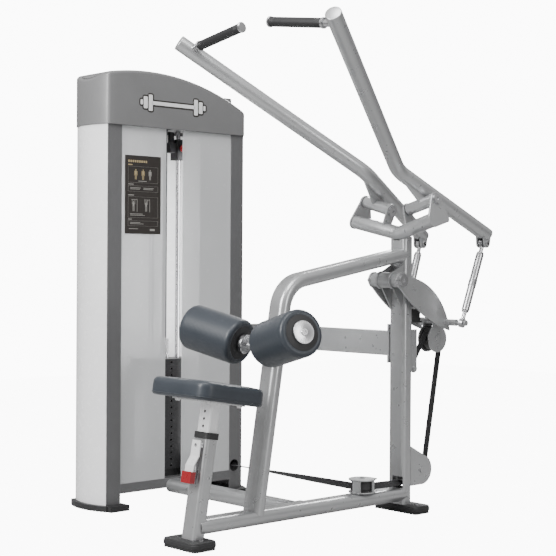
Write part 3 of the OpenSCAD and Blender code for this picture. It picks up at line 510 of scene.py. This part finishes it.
def dress(node, chooser=None, *extra):
    """Gives a CAD node its slot's material, and other materials to the faces that chooser numbers."""
    obj = NODES[node]
    obj.data.materials.clear()
    for slot in (SLOT_OF[node], *extra):
        obj.data.materials.append(MATERIALS[slot])
    if chooser:
        for poly in obj.data.polygons:
            poly.material_index = chooser(poly.center)


for node in NODES:
    dress(node)


# ---- arms and yoke ----
PIVOT = joint_at("left_arm_pivot")
TILT = math.radians(15)
AXIS = Vector((0, math.cos(TILT), math.sin(TILT)))
ACROSS = Vector((0, -math.sin(TILT), math.cos(TILT)))
ARM_TIP, ARM_BEND, ARM_REAR = mm(-770, 397, 1741), mm(-112, 82, 1286), mm(305, 165, 1055)
LINK_TOP, LINK_LOW = mm(289, 161, 1024), mm(180, 150, 718)
GRIP_ROOT = ARM_TIP + (ARM_BEND - ARM_TIP).normalized() * 0.05
GRIP_TIP = mm(-748, 69, 1758)
ARM_R, STUB_R, GRIP_R, GROOVE_R = 28.5, 11.9, 17, 16.4


def on_pivot(y):
    """Placement of an outline in the arm's pivot frame, its near face at y millimetres along the axis."""
    return place_at(PIVOT + AXIS * (y / 1000), ACROSS, X)


def swap(outline):
    """Outline given as (x, z), turned to be drawn as (z, x)."""
    return [Vector((p.y, p.x)) for p in outline]


for name, side in SIDES:
    tube = bmesh.new()
    rear = ARM_REAR + (ARM_REAR - ARM_BEND).normalized() * 0.006
    add_tube(tube, bent_path(ARM_TIP, ARM_BEND, rear, 0.125), ARM_R, seg=64)
    room = bmesh.new()
    add_lathe(room, LINK_TOP - mm(0, 13, 0), Y, [(27, 0), (27, 26)])
    bm = carve(tube, room)
    add_sleeve(bm, PIVOT - AXIS * 0.065, AXIS,
               [(12.6, 0), (21.5, 0), (23, 1.5), (23, 128.5), (21.5, 130), (12.6, 130)])
    nose = [Vector((18 * math.cos(a), 18 * math.sin(a))) for a in
            (math.radians(180 - 164 * k / 8) for k in range(9))]
    gusset = [Vector((-112, 112)), *nose, Vector((74, 22)), Vector((-60, 100))]
    add_plate(bm, swap(gusset), 10, on_pivot(4), 1.5)
    ear = hull([(289, 1024, 18), (304, 1054, 9), (276, 1058, 7)])
    for y in (140, 174):
        add_plate(bm, swap(ear), 8, facing_front(0, y, 0), 1)
    # the fork's pin, with a hex head on one side and a round one on the other
    first = len(bm.faces)
    add_lathe(bm, LINK_TOP - mm(0, 27, 0), Y, [(6, 0), (6, 54)], 32)
    for s in (-1, 1):
        add_lathe(bm, LINK_TOP + mm(0, 27 * s, 0), -Y * s, [(9.5, 0), (11, 1.5), (11, 5.6), (10.6, 6)],
                  6 if side * s > 0 else 32)
    paint(bm, first, 1)
    if side < 0:
        mirror_y(bm)
    make(f"{name}_arm_tube", bm, "frame_silver", f"{name}_arm", [f"{name}_arm"],
         materials=[TUBE_SILVER, MATERIALS["bright_steel"]])

    # handle: steel stub and rings, and a rubber grip with fine rings near both ends
    u = (GRIP_TIP - GRIP_ROOT).normalized()
    length = (GRIP_TIP - GRIP_ROOT).length * 1000
    a, b = sided(GRIP_ROOT, side), sided(u, side)
    bm = bmesh.new()
    add_lathe(bm, a, b, [(13, 22), (13, 56), (17.5, 56), (19, 57.5), (19, 63.5), (17.5, 65), (STUB_R, 65),
                         (STUB_R, length - 9.8), (17.5, length - 9.8), (19, length - 8.3), (19, length - 3),
                         (16, length - 0.3), (11, length)], 48)
    make(f"{name}_handle_rod", bm, "bright_steel", f"{name}_arm", [f"{name}_handle"])
    profile = [(STUB_R + 0.2, 65.2), (GRIP_R - 1, 65.2), (GRIP_R, 66.2)]
    for h in [start + 4 * k for start in (69, length - 34) for k in range(5)]:
        profile += [(GRIP_R, h), (GROOVE_R, h + 0.8), (GROOVE_R, h + 2), (GRIP_R, h + 2.8)]
    profile += [(GRIP_R, length - 11), (GRIP_R - 1, length - 10), (STUB_R + 0.2, length - 10)]
    bm = bmesh.new()
    add_sleeve(bm, a, b, profile, 48)
    make(f"{name}_rubber_grip", bm, "grip_rubber", f"{name}_arm", [f"{name}_grip"])

# yoke: bent cross tube, and two pivot plates on each side of the machine
bm = bmesh.new()
ends = [mm(-47, s * 199, 1104.8) for s in (1, -1)]
add_tube(bm, bent_path(ends[0], mm(-13, 0, 1057), ends[1], 0.06), 27, seg=64, round_mm=0.3)
for s in (1, -1):
    for y, outline in ((67, hull([(0, 0, 26), (-34, -80, 29), (40, -76, 13)])),
                       (-75, hull([(0, 0, 26), (-12, -62, 20), (2, -58, 12)]))):
        plate = bmesh.new()
        add_plate(plate, swap(outline), 8, on_pivot(y), 1.2)
        if s < 0:
            mirror_y(plate)
        temp = bpy.data.meshes.new("plate")
        plate.to_mesh(temp)
        plate.free()
        bm.from_mesh(temp)
make("yoke_weldment", bm, "frame_silver", "frame", ["yoke"], materials=[TUBE_SILVER])


# ---- tower cap ----
CAP_Z, CAP_FRONT = 1463, 701
CAP_MID_X, CAP_MID_Y = -523, 810.5
CAP_ARCH_R, CAP_ARCH_X, CAP_ARCH_Z = 1040, -665, 639


def cap_ring(shrink, drop, flat=None):
    """Front and back points of the cap's outline, drawn in by shrink.

    They lie on the arched top less drop, or all at height flat."""
    half, depth, flank, fall, fall_width = 365, 109.5, 337, 16, 28
    big = (depth ** 2 + (half - flank) ** 2) / (2 * (half - flank))
    swing = math.asin(depth / big)
    side = [(half - big * (1 - math.cos(t)), big * math.sin(t)) for t in (swing * k / 10 for k in range(11))]
    side[-1] = (flank + 0.5, depth - 2.2)
    side += [(flank - 2.5, depth - 0.5), (flank - 6, depth)]
    stations = [(-x, y) for x, y in side] + [(-330 + 27.5 * k, depth) for k in range(1, 24)]
    stations += list(reversed(side))
    front, back = [], []
    for x, y in stations:
        px = CAP_MID_X + x * (1 - shrink / half)
        z = flat
        if flat is None:
            z = CAP_ARCH_Z + math.sqrt(CAP_ARCH_R ** 2 - (px - CAP_ARCH_X) ** 2) - drop
            z -= fall * (max(0.0, -x - (half - fall_width)) / fall_width) ** 2
        y = max(0.6, y * (1 - shrink / depth))
        front.append(mm(px, CAP_MID_Y - y, z))
        back.append(mm(px, CAP_MID_Y + y, z))
    return front, back


bm = bmesh.new()
edge_r = 13
levels = [cap_ring(4.5, 4.5), cap_ring(4, 0, CAP_Z), cap_ring(0, 0, CAP_Z)]
levels += [cap_ring(edge_r * (1 - math.cos(a)), edge_r * (1 - math.sin(a)))
           for a in (math.radians(90 * k / 8) for k in range(9))]
loops = add_rings(bm, [front + list(reversed(back)) for front, back in levels], "open")
n = len(levels[0][0])
for loop in (loops[0], loops[-1]):
    for i in range(n - 1):
        bm.faces.new((loop[i], loop[i + 1], loop[2 * n - 2 - i], loop[2 * n - 1 - i]))
add_plate(bm, rounded_box(58, 42, 5), 60, facing_front(-236, 748, 1588), 3)
make("cap_shell", bm, "cap_grey", "frame", ["tower_cap"], sharp=0.9)

def sign(bm, grow, y):
    """Dumbbell from a bar and three discs on each side, all grown by a margin."""
    discs = ((112, 19, 62), (136, 19, 46), (155, 11, 20))
    for x, w, h in [(0, 210, 14)] + [(s * x, w, h) for s in (-1, 1) for x, w, h in discs]:
        add_plate(bm, rounded_box(h + 2 * grow, w + 2 * grow, 4 + grow), 0.7,
                  facing_front(-554 + x, y, 1557), 0.1)


# dumbbell sign on the front of the cap: a white shape over a slightly larger dark one
bm = bmesh.new()
sign(bm, 6, CAP_FRONT - 0.5)
paint(bm, 0, 1)
sign(bm, 0, CAP_FRONT - 1.0)
make("cap_sign", bm, "shell_white", "frame", materials=[PRINT_WHITE, MATERIALS["placard_dark"]])


# ---- placard print: frames, bars and simple figures ----
bm = bmesh.new()
GOLD, PALE = 0, 1
PLACARD_X, PLACARD_Y, PLACARD_Z = -779, 708.75, 1051
PRINT_T, LINE_W, PANEL_W = 0.35, 0.6, 142


def print_box(x, z, w, h, index, r=0.0):
    """Flat printed box; x and z are its lower left corner on the placard."""
    first = len(bm.faces)
    outline = rounded_box(h, w, r, 6) if r else rounded_box(h, w, min(w, h) * 0.1, 2)
    add_plate(bm, outline, PRINT_T, facing_front(PLACARD_X + x + w / 2, PLACARD_Y, PLACARD_Z + z + h / 2), 0.05)
    paint(bm, first, index)


def print_frame(z, h):
    """Thin frame of a panel that spans the placard."""
    x = 14
    for bz in (z, z + h - LINE_W):
        print_box(x, bz, PANEL_W, LINE_W, PALE)
    for bx in (x, x + PANEL_W - LINE_W):
        print_box(bx, z, LINE_W, h, PALE)


def print_lines(lines, starts=(24,)):
    """Bars that stand for lines of text: (z, width) pairs, each printed at every start."""
    for z, w in lines:
        for x in starts:
            print_box(x, z, w, 2.2, PALE, 0.8)


def figure(x, z, arms_up, index):
    """Standing figure: head, trunk, legs and arms, from plain bars."""
    print_box(x - 2.4, z + 35, 4.8, 4.8, index, 2.3)
    print_box(x - 4, z + 19, 8, 15, index, 2)
    for s in (-1, 1):
        print_box(x + s * 2.6 - 1.3, z, 2.6, 20, index, 1)
        print_box(x + s * 6.4 - 0.9, z + (27 if arms_up else 15), 1.8, 18, index, 0.8)


for k in range(9):
    print_box(14 + 10.3 * k, 273, 7, 9, GOLD, 1.5)
print_box(14, 262, 20, 4, GOLD, 1)
print_frame(196, 62)
for k, x in enumerate((50, 85, 118)):
    figure(x, 208, False, GOLD if k < 2 else PALE)
print_box(62, 201, 40, 2.5, PALE, 1)
print_box(14, 188, 26, 3, PALE, 1)
print_frame(162, 22)
print_lines(((175, 50), (170, 46)), (24, 86))
print_box(14, 146, 28, 3.5, PALE, 1)
print_frame(62, 80)
for x in (40, 100):
    figure(x, 86, True, PALE)
    print_box(x + 16, 84, 2, 50, PALE)
    print_box(x - 10, 130, 28, 2, PALE)
print_lines(((75, 60), (70, 70)))
print_box(14, 54, 18, 3, PALE, 1)
print_frame(30, 20)
print_lines(((42, 48), (37, 64)))
print_box(18, 18, 44, 2.2, PALE, 0.8)
print_box(118, 12, 24, 8, PALE, 2)
make("placard_print", bm, "shell_white", "frame", materials=[PRINT_GOLD, PRINT_PALE])


# ---- upholstery: sewn covers puffed by a short cloth simulation ----
PRESSURE, CLOTH_FRAMES = 2.0, 20


def settle(bm, voxel_mm, cap_mm, held):
    """Puffs a closed cover a little; vertices that held() accepts stay where they are. Returns a bmesh."""
    obj = temp_object(bm)
    grid = obj.modifiers.new("grid", "REMESH")
    grid.mode, grid.voxel_size = "VOXEL", voxel_mm / 1000
    obj.data = baked(obj)
    rest = [v.co.copy() for v in obj.data.vertices]
    group = obj.vertex_groups.new(name="held")
    group.add([i for i, co in enumerate(rest) if held(co)], 1.0, "REPLACE")
    cloth = obj.modifiers.new("cloth", "CLOTH")
    cs = cloth.settings
    cs.quality, cs.mass = 6, 0.3
    cs.tension_stiffness = cs.compression_stiffness = 60
    cs.shear_stiffness, cs.bending_stiffness = 30, 20.0
    cs.use_pressure, cs.uniform_pressure_force = True, PRESSURE
    cs.effector_weights.gravity = 0
    cs.vertex_group_mass = "held"
    cloth.point_cache.frame_start, cloth.point_cache.frame_end = 1, CLOTH_FRAMES
    for f in range(1, CLOTH_FRAMES + 1):
        bpy.context.scene.frame_set(f)
    obj.data = baked(obj)
    bpy.context.scene.frame_set(1)
    for v, old in zip(obj.data.vertices, rest):
        d = v.co - old
        if d.length > cap_mm / 1000:
            v.co = old + d.normalized() * (cap_mm / 1000)
    out = bmesh_of(obj.data, obj)
    bmesh.ops.smooth_vert(out, verts=out.verts, factor=0.5, use_axis_x=True, use_axis_y=True, use_axis_z=True)
    return out


def add_cover(name, bm, body, stands_for):
    """Vinyl cover that rides on a body, with one subdivision."""
    obj = make(name, bm, "slate_vinyl", body, stands_for, sharp=math.inf)
    smooth = obj.modifiers.new("smooth", "SUBSURF")
    smooth.levels = smooth.render_levels = 1


LEAN = math.radians(9.5)
SEAT_UP = Vector((math.sin(LEAN), 0, math.cos(LEAN)))
SEAT_X = Vector((math.cos(LEAN), 0, -math.sin(LEAN)))
SEAT_O = mm(-1017, 0, 0)


def on_seat(x, y, l):
    """A point given across, beside and along the leaning seat post, in millimetres."""
    return SEAT_O + SEAT_X * (x / 1000) + Vector((0, y / 1000, 0)) + SEAT_UP * (l / 1000)


PAD_LENGTH, PAD_WIDTH, PAD_CORNER_R, PAD_BASE = 279, 296, 42, 484


def pad_ring(inset, h):
    """The pad's outline drawn in by inset, h above its underside."""
    place = place_at(on_seat(-20, 0, PAD_BASE), SEAT_X, Y)
    outline = rounded_box(PAD_LENGTH - 2 * inset, PAD_WIDTH - 2 * inset, PAD_CORNER_R - inset, 10)
    return [place @ mm(p.x, p.y, h) for p in outline]


bm = bmesh.new()
rim = [(16 * (1 - math.cos(a)), 44 + 17 * math.sin(a)) for a in (math.radians(15 * k) for k in range(1, 7))]
add_rings(bm, [pad_ring(inset, h) for inset, h in [(5, 0), (1, 4), (0, 12), (0, 44)] + rim])
held_below = on_seat(0, 0, PAD_BASE + 7)
bm = settle(bm, 6, 2.5, lambda p: (p - held_below).dot(SEAT_UP) < 0)
add_cover("seat_cushion", bm, "seat", ["seat_pad"])

# piping of the seam low on the pad's side
bm = bmesh.new()
path = pad_ring(-0.4, 10)
rots = [frame_of(path[(i + 1) % len(path)] - path[i - 1], SEAT_UP) for i in range(len(path))]
add_sweep(bm, path, rots, [1.4] * len(path), 8, "joined")
make("seat_piping", bm, "slate_vinyl", "seat")

ROLL_ROOT = mm(-728, 0, 647)
ROLL_DIR = Vector((-0.207, 0.953, 0.225)).normalized()
for name, side in SIDES:
    axis = sided(ROLL_DIR, side)
    bm = bmesh.new()
    cover = [(58, 76), (60, 73.5), (66, 72.5)] + arc_profile(67, 86.5, 14, -90, 0, 6)
    cover += arc_profile(67, 285.5, 14, 0, 90, 6) + [(66, 299.5), (60, 298.5), (58, 296), (30, 290), (30, 82)]
    add_sleeve(bm, ROLL_ROOT, axis, cover, 96)
    bm = settle(bm, 5, 1.5, lambda p: ((p - ROLL_ROOT) - axis * (p - ROLL_ROOT).dot(axis)).length < 0.064)
    add_cover(f"{name}_foam_roller", bm, f"{name}_roller", [f"{name}_roller"])
    # dished black rings in both ends, and the core they hold
    bm = bmesh.new()
    add_sleeve(bm, ROLL_ROOT, axis,
               [(13.2, 70), (38, 70), (42, 70.6), (60.5, 75), (60.5, 80), (40, 84), (40, 288),
                (60.5, 292), (60.5, 298), (42, 302.9), (38, 303.4), (13.2, 303.4)], 72)
    make(f"{name}_roller_core", bm, "black_rubber", f"{name}_roller", sharp=0.5)

# V bar of the rollers: collars, end discs with a screw, and the stub and flange on the main tube
FLANGE = mm(-681, 0, 600)
bm = bmesh.new()
ends = [ROLL_ROOT + sided(ROLL_DIR, s) * 0.303 for s in (1, -1)]
add_tube(bm, bent_path(ends[0], ROLL_ROOT, ends[1], 0.03), 13, seg=40, round_mm=0.5)
for side in (1, -1):
    axis = sided(ROLL_DIR, side)
    add_lathe(bm, ROLL_ROOT, axis, [(13.1, 50), (32, 50), (34, 52), (34, 65), (32, 67), (13.1, 67)], 64)
    add_lathe(bm, ROLL_ROOT, axis,
              [(12, 302), (12, 304), (36, 304), (39, 306), (39, 310), (37.5, 311.6), (14, 312),
               (12.5, 312.4), (12, 313.4), (11, 316), (6, 316), (5, 313), (0.5, 313)], 72)
stub = ROLL_ROOT + mm(90, 0, 6)
add_lathe(bm, ROLL_ROOT, stub - ROLL_ROOT, [(17, -2), (19, 0), (19, 62), (12, 62)], 48)
add_plate(bm, rounded_box(60, 96, 8), 8, place_at(FLANGE + SEAT_UP * 0.048, Y, SEAT_UP), 1)
for h in (12, 84):
    add_lathe(bm, FLANGE + SEAT_UP * (h / 1000), -SEAT_X, [(10, 0), (10, 1.6), (8, 1.6), (8, 6), (7, 7)], 6)
make("roller_v_bar", bm, "bright_steel", "frame", ["roller_bar"], sharp=0.5)


# ---- belts ----
REAR, MOVING, ANCHOR = mm(89, 0, 152), mm(181, 0, 652), mm(52, 0, 542)
BELT_R = 0.04555  # from a pulley's axis to the middle of the belt
BELT_SHORT = 0.0115  # a run stops this far before the moving pulley's tangent point
BELT_W, BELT_T = 26, 3


def add_strip(bm, p, q, steps=28):
    """Belt from p to q, wide along Y, with softly rounded edges and divided along its length."""
    n = (q - p).normalized().cross(Y).normalized()
    section = rounded_box(BELT_W, BELT_T, 0.8, 2)
    centres = (p + (q - p) * (k / steps) for k in range(steps + 1))
    add_rings(bm, [[c + Y * (s.x / 1000) + n * (s.y / 1000) for s in section] for c in centres])


run = (MOVING - REAR).normalized()
off = Vector((run.z, 0, -run.x)) * BELT_R
low, top = REAR + off, MOVING + off - run * BELT_SHORT
bm = bmesh.new()
add_strip(bm, low, top)
belt = make("rear_belt_run", bm, "belt_black", stands_for=["belt_rear_run"], sharp=1.2)
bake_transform(belt)

d = MOVING - ANCHOR
lean = math.atan2(d.x, d.z) - math.asin(BELT_R / d.length)
along = Vector((math.sin(lean), 0, math.cos(lean)))
top = ANCHOR + along * (math.sqrt(d.length_squared - BELT_R ** 2) - BELT_SHORT)
bm = bmesh.new()
add_strip(bm, ANCHOR + along * 0.007, top)
add_sleeve(bm, ANCHOR - Y * (BELT_W / 2000), Y, [(6.1, 0), (9, 0), (9, BELT_W), (6.1, BELT_W)], 32)
belt = make("anchor_belt_run", bm, "belt_black", stands_for=["belt_anchor_run"], sharp=1.2)
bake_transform(belt)

lo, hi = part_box("stack_belt")
centre = (lo + hi) / 2
bm = bmesh.new()
add_strip(bm, Vector((centre.x, centre.y, hi.z)), Vector((centre.x, centre.y, lo.z)))
belt = make("stack_belt_strip", bm, "belt_black", "frame", ["stack_belt"], sharp=1.2)
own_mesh(belt)


# ---- small hardware ----
# hex nuts at both ends of each turnbuckle, and flats on its body
for name, side in SIDES:
    low, top = sided(LINK_LOW, side), sided(LINK_TOP, side)
    along = (top - low).normalized()
    full = (top - low).length * 1000
    mid = full / 2
    bm = bmesh.new()
    for h in (43, full - 45):
        add_lathe(bm, low, along, [(11.5, h), (13.5, h + 1), (13.5, h + 7), (11.5, h + 8)], 6)
    add_lathe(bm, low, along, [(15, mid - 14), (16.2, mid - 13), (16.2, mid + 13), (15, mid + 14)], 6)
    make(f"{name}_link_nuts", bm, "bright_steel", f"{name}_link", sharp=0.4)

# the paddle of the seat lever is red below this height along the post
PADDLE_TOP = 0.2475
dress("seat_lever", lambda p: 1 if (p - SEAT_O).dot(SEAT_UP) < PADDLE_TOP else 0, "red_plastic")

# plunger housing and two return springs behind the lever
COILS, COIL_STEPS, COIL_R, WIRE_R, SPRING_LENGTH = 9, 14, 3.4, 0.7, 26
bm = bmesh.new()
add_plate(bm, rounded_box(13, 18, 3), 64, place_at(on_seat(-31.6, 0, 207), SEAT_X, Y), 1)
for y in (-6.5, 6.5):
    path = []
    for k in range(COILS * COIL_STEPS + 1):
        a = 2 * math.pi * k / COIL_STEPS
        path.append(on_seat(-31 + COIL_R * math.cos(a), y + COIL_R * math.sin(a),
                            272 + SPRING_LENGTH * k / (COILS * COIL_STEPS)))
    last = len(path) - 1
    rots = [frame_of(path[min(i + 1, last)] - path[max(i - 1, 0)], UP) for i in range(len(path))]
    add_sweep(bm, path, rots, [WIRE_R] * len(path), 6)
make("lever_spring", bm, "bright_steel", "frame", sharp=1.0)
bm = bmesh.new()
add_lathe(bm, on_seat(-39.4, 0, 336), -SEAT_X, [(6, 0), (6, 1.8), (5, 2.6), (2, 2.6), (2, 1.4), (0.4, 1.4)], 24)
make("lever_screw", bm, "bright_steel", "seat_lever", sharp=0.5)

# knob of the add-on pin, near enough to its block to be seen through the slot
lo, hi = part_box("addon_pin")
start = Vector(((lo.x + hi.x) / 2, 0.795, (lo.z + hi.z) / 2))
bm = bmesh.new()
add_lathe(bm, start, -Y, [(3.9, 14), (3.9, 24.3), (8, 24.3), (8, 27), (11, 27), (14.2, 29.5), (15, 31.5),
                          (14.2, 34.5), (11, 35.5), (10, 34.6)], 48)
make("addon_knob", bm, "red_plastic", "addon_pin", ["addon_pin"], sharp=0.7)

# black covers over the feet's plates, with a rounded rim
bm = bmesh.new()
for x, y, w, l in ((-1025, 0, 100, 168), (16, 4, 88, 216)):
    for z, grow, t in ((9, 5, 16), (22, 2, 8)):
        add_plate(bm, rounded_box(w + grow, l + grow, 20), t, place_at(mm(x, y, z), X, Y), 2.5)
make("foot_covers", bm, "black_rubber", "frame", sharp=0.7)


# ---- studio ----
bm = bmesh.new()
bmesh.ops.create_grid(bm, x_segments=1, y_segments=1, size=6.0)
floor = to_object("studio_floor", bm)
# seen directly, the floor is nearly as white as the backdrop; it still lights and reflects the machine
FLOOR_CLEAR = 0.94
m, nt, out, _ = new_material("floor_white")
seen = nt.nodes.new("ShaderNodeLightPath")
matte = nt.nodes.new("ShaderNodeBsdfDiffuse")
matte.inputs["Color"].default_value = (0.4, 0.4, 0.4, 1)
clear = nt.nodes.new("ShaderNodeBsdfTransparent")
share = nt.nodes.new("ShaderNodeMath")
share.operation = "MULTIPLY"
share.inputs[1].default_value = FLOOR_CLEAR
mixer = nt.nodes.new("ShaderNodeMixShader")
nt.links.new(seen.outputs["Is Camera Ray"], share.inputs[0])
nt.links.new(share.outputs[0], mixer.inputs[0])
nt.links.new(matte.outputs[0], mixer.inputs[1])
nt.links.new(clear.outputs[0], mixer.inputs[2])
nt.links.new(mixer.outputs[0], out.inputs["Surface"])
floor.data.materials.append(m)

# white backdrop for the eye; what lights the machine is darker low down and brighter overhead
BACKDROP, LOW_LIGHT, HIGH_LIGHT = 11.0, 0.17, 0.95
world = bpy.data.worlds.new("studio")
bpy.context.scene.world = world
world.use_nodes = True
nt = world.node_tree
back = nt.nodes["Background"]
back.inputs["Color"].default_value = (1, 1, 1, 1)
coord = nt.nodes.new("ShaderNodeTexCoord")
split = nt.nodes.new("ShaderNodeSeparateXYZ")
nt.links.new(coord.outputs["Generated"], split.inputs[0])
height = nt.nodes.new("ShaderNodeMapRange")
for key, value in {"From Min": -0.1, "From Max": 0.9, "To Min": LOW_LIGHT, "To Max": HIGH_LIGHT}.items():
    height.inputs[key].default_value = value
nt.links.new(split.outputs["Z"], height.inputs["Value"])
seen = nt.nodes.new("ShaderNodeLightPath")
level = nt.nodes.new("ShaderNodeMix")
nt.links.new(seen.outputs["Is Camera Ray"], level.inputs["Factor"])
nt.links.new(height.outputs["Result"], level.inputs[2])
level.inputs[3].default_value = BACKDROP
nt.links.new(level.outputs[0], back.inputs["Strength"])


def area_light(name, place, target, size, power, tall=None):
    """Lamp that looks from place to target; sizes in metres, power in watts."""
    data = bpy.data.lights.new(name, "AREA")
    data.size = size
    if tall:
        data.shape = "RECTANGLE"
        data.size_y = tall
    data.energy = power
    lamp = to_object(name, data)
    lamp.location = place
    lamp.rotation_euler = (Vector(target) - Vector(place)).to_track_quat("-Z", "Y").to_euler()


MIDDLE = (-0.4, 0.2, 0.9)
area_light("key", (-3.9, 0.3, 2.6), MIDDLE, 0.7, 180, 2.4)
area_light("top", (-1.4, -0.8, 3.6), MIDDLE, 1.4, 60)
area_light("fill", (-0.2, -3.6, 1.6), MIDDLE, 0.6, 36, 2.2)
area_light("rim", (2.6, 2.2, 2.8), (-0.3, 0.3, 0.9), 0.8, 70, 2.0)
# daylight on the tower's rear wall, which shows through the frosted panels and the slot
for x in (-0.69, -0.40):
    area_light("tower_wall", (x, 0.722, 0.78), (x, 0.9, 0.78), 0.1, 2.6, 1.2)


# ---- camera ----
cam_data = bpy.data.cameras.new("camera")
cam_data.lens = 86.35
cam_data.sensor_width = 36
camera = to_object("camera", cam_data)
AZIMUTH, PITCH, ROLL = (math.radians(a) for a in (-42.523, 0.506, 0.361))
camera.location = (-3.780, -3.427, 0.930)
level_look = Vector((-math.sin(AZIMUTH), math.cos(AZIMUTH), 0))
look = level_look * math.cos(PITCH) - UP * math.sin(PITCH)
camera.rotation_euler = (look.to_track_quat("-Z", "Y").to_matrix() @ Matrix.Rotation(ROLL, 3, "Z")).to_euler()
bpy.context.scene.camera = camera
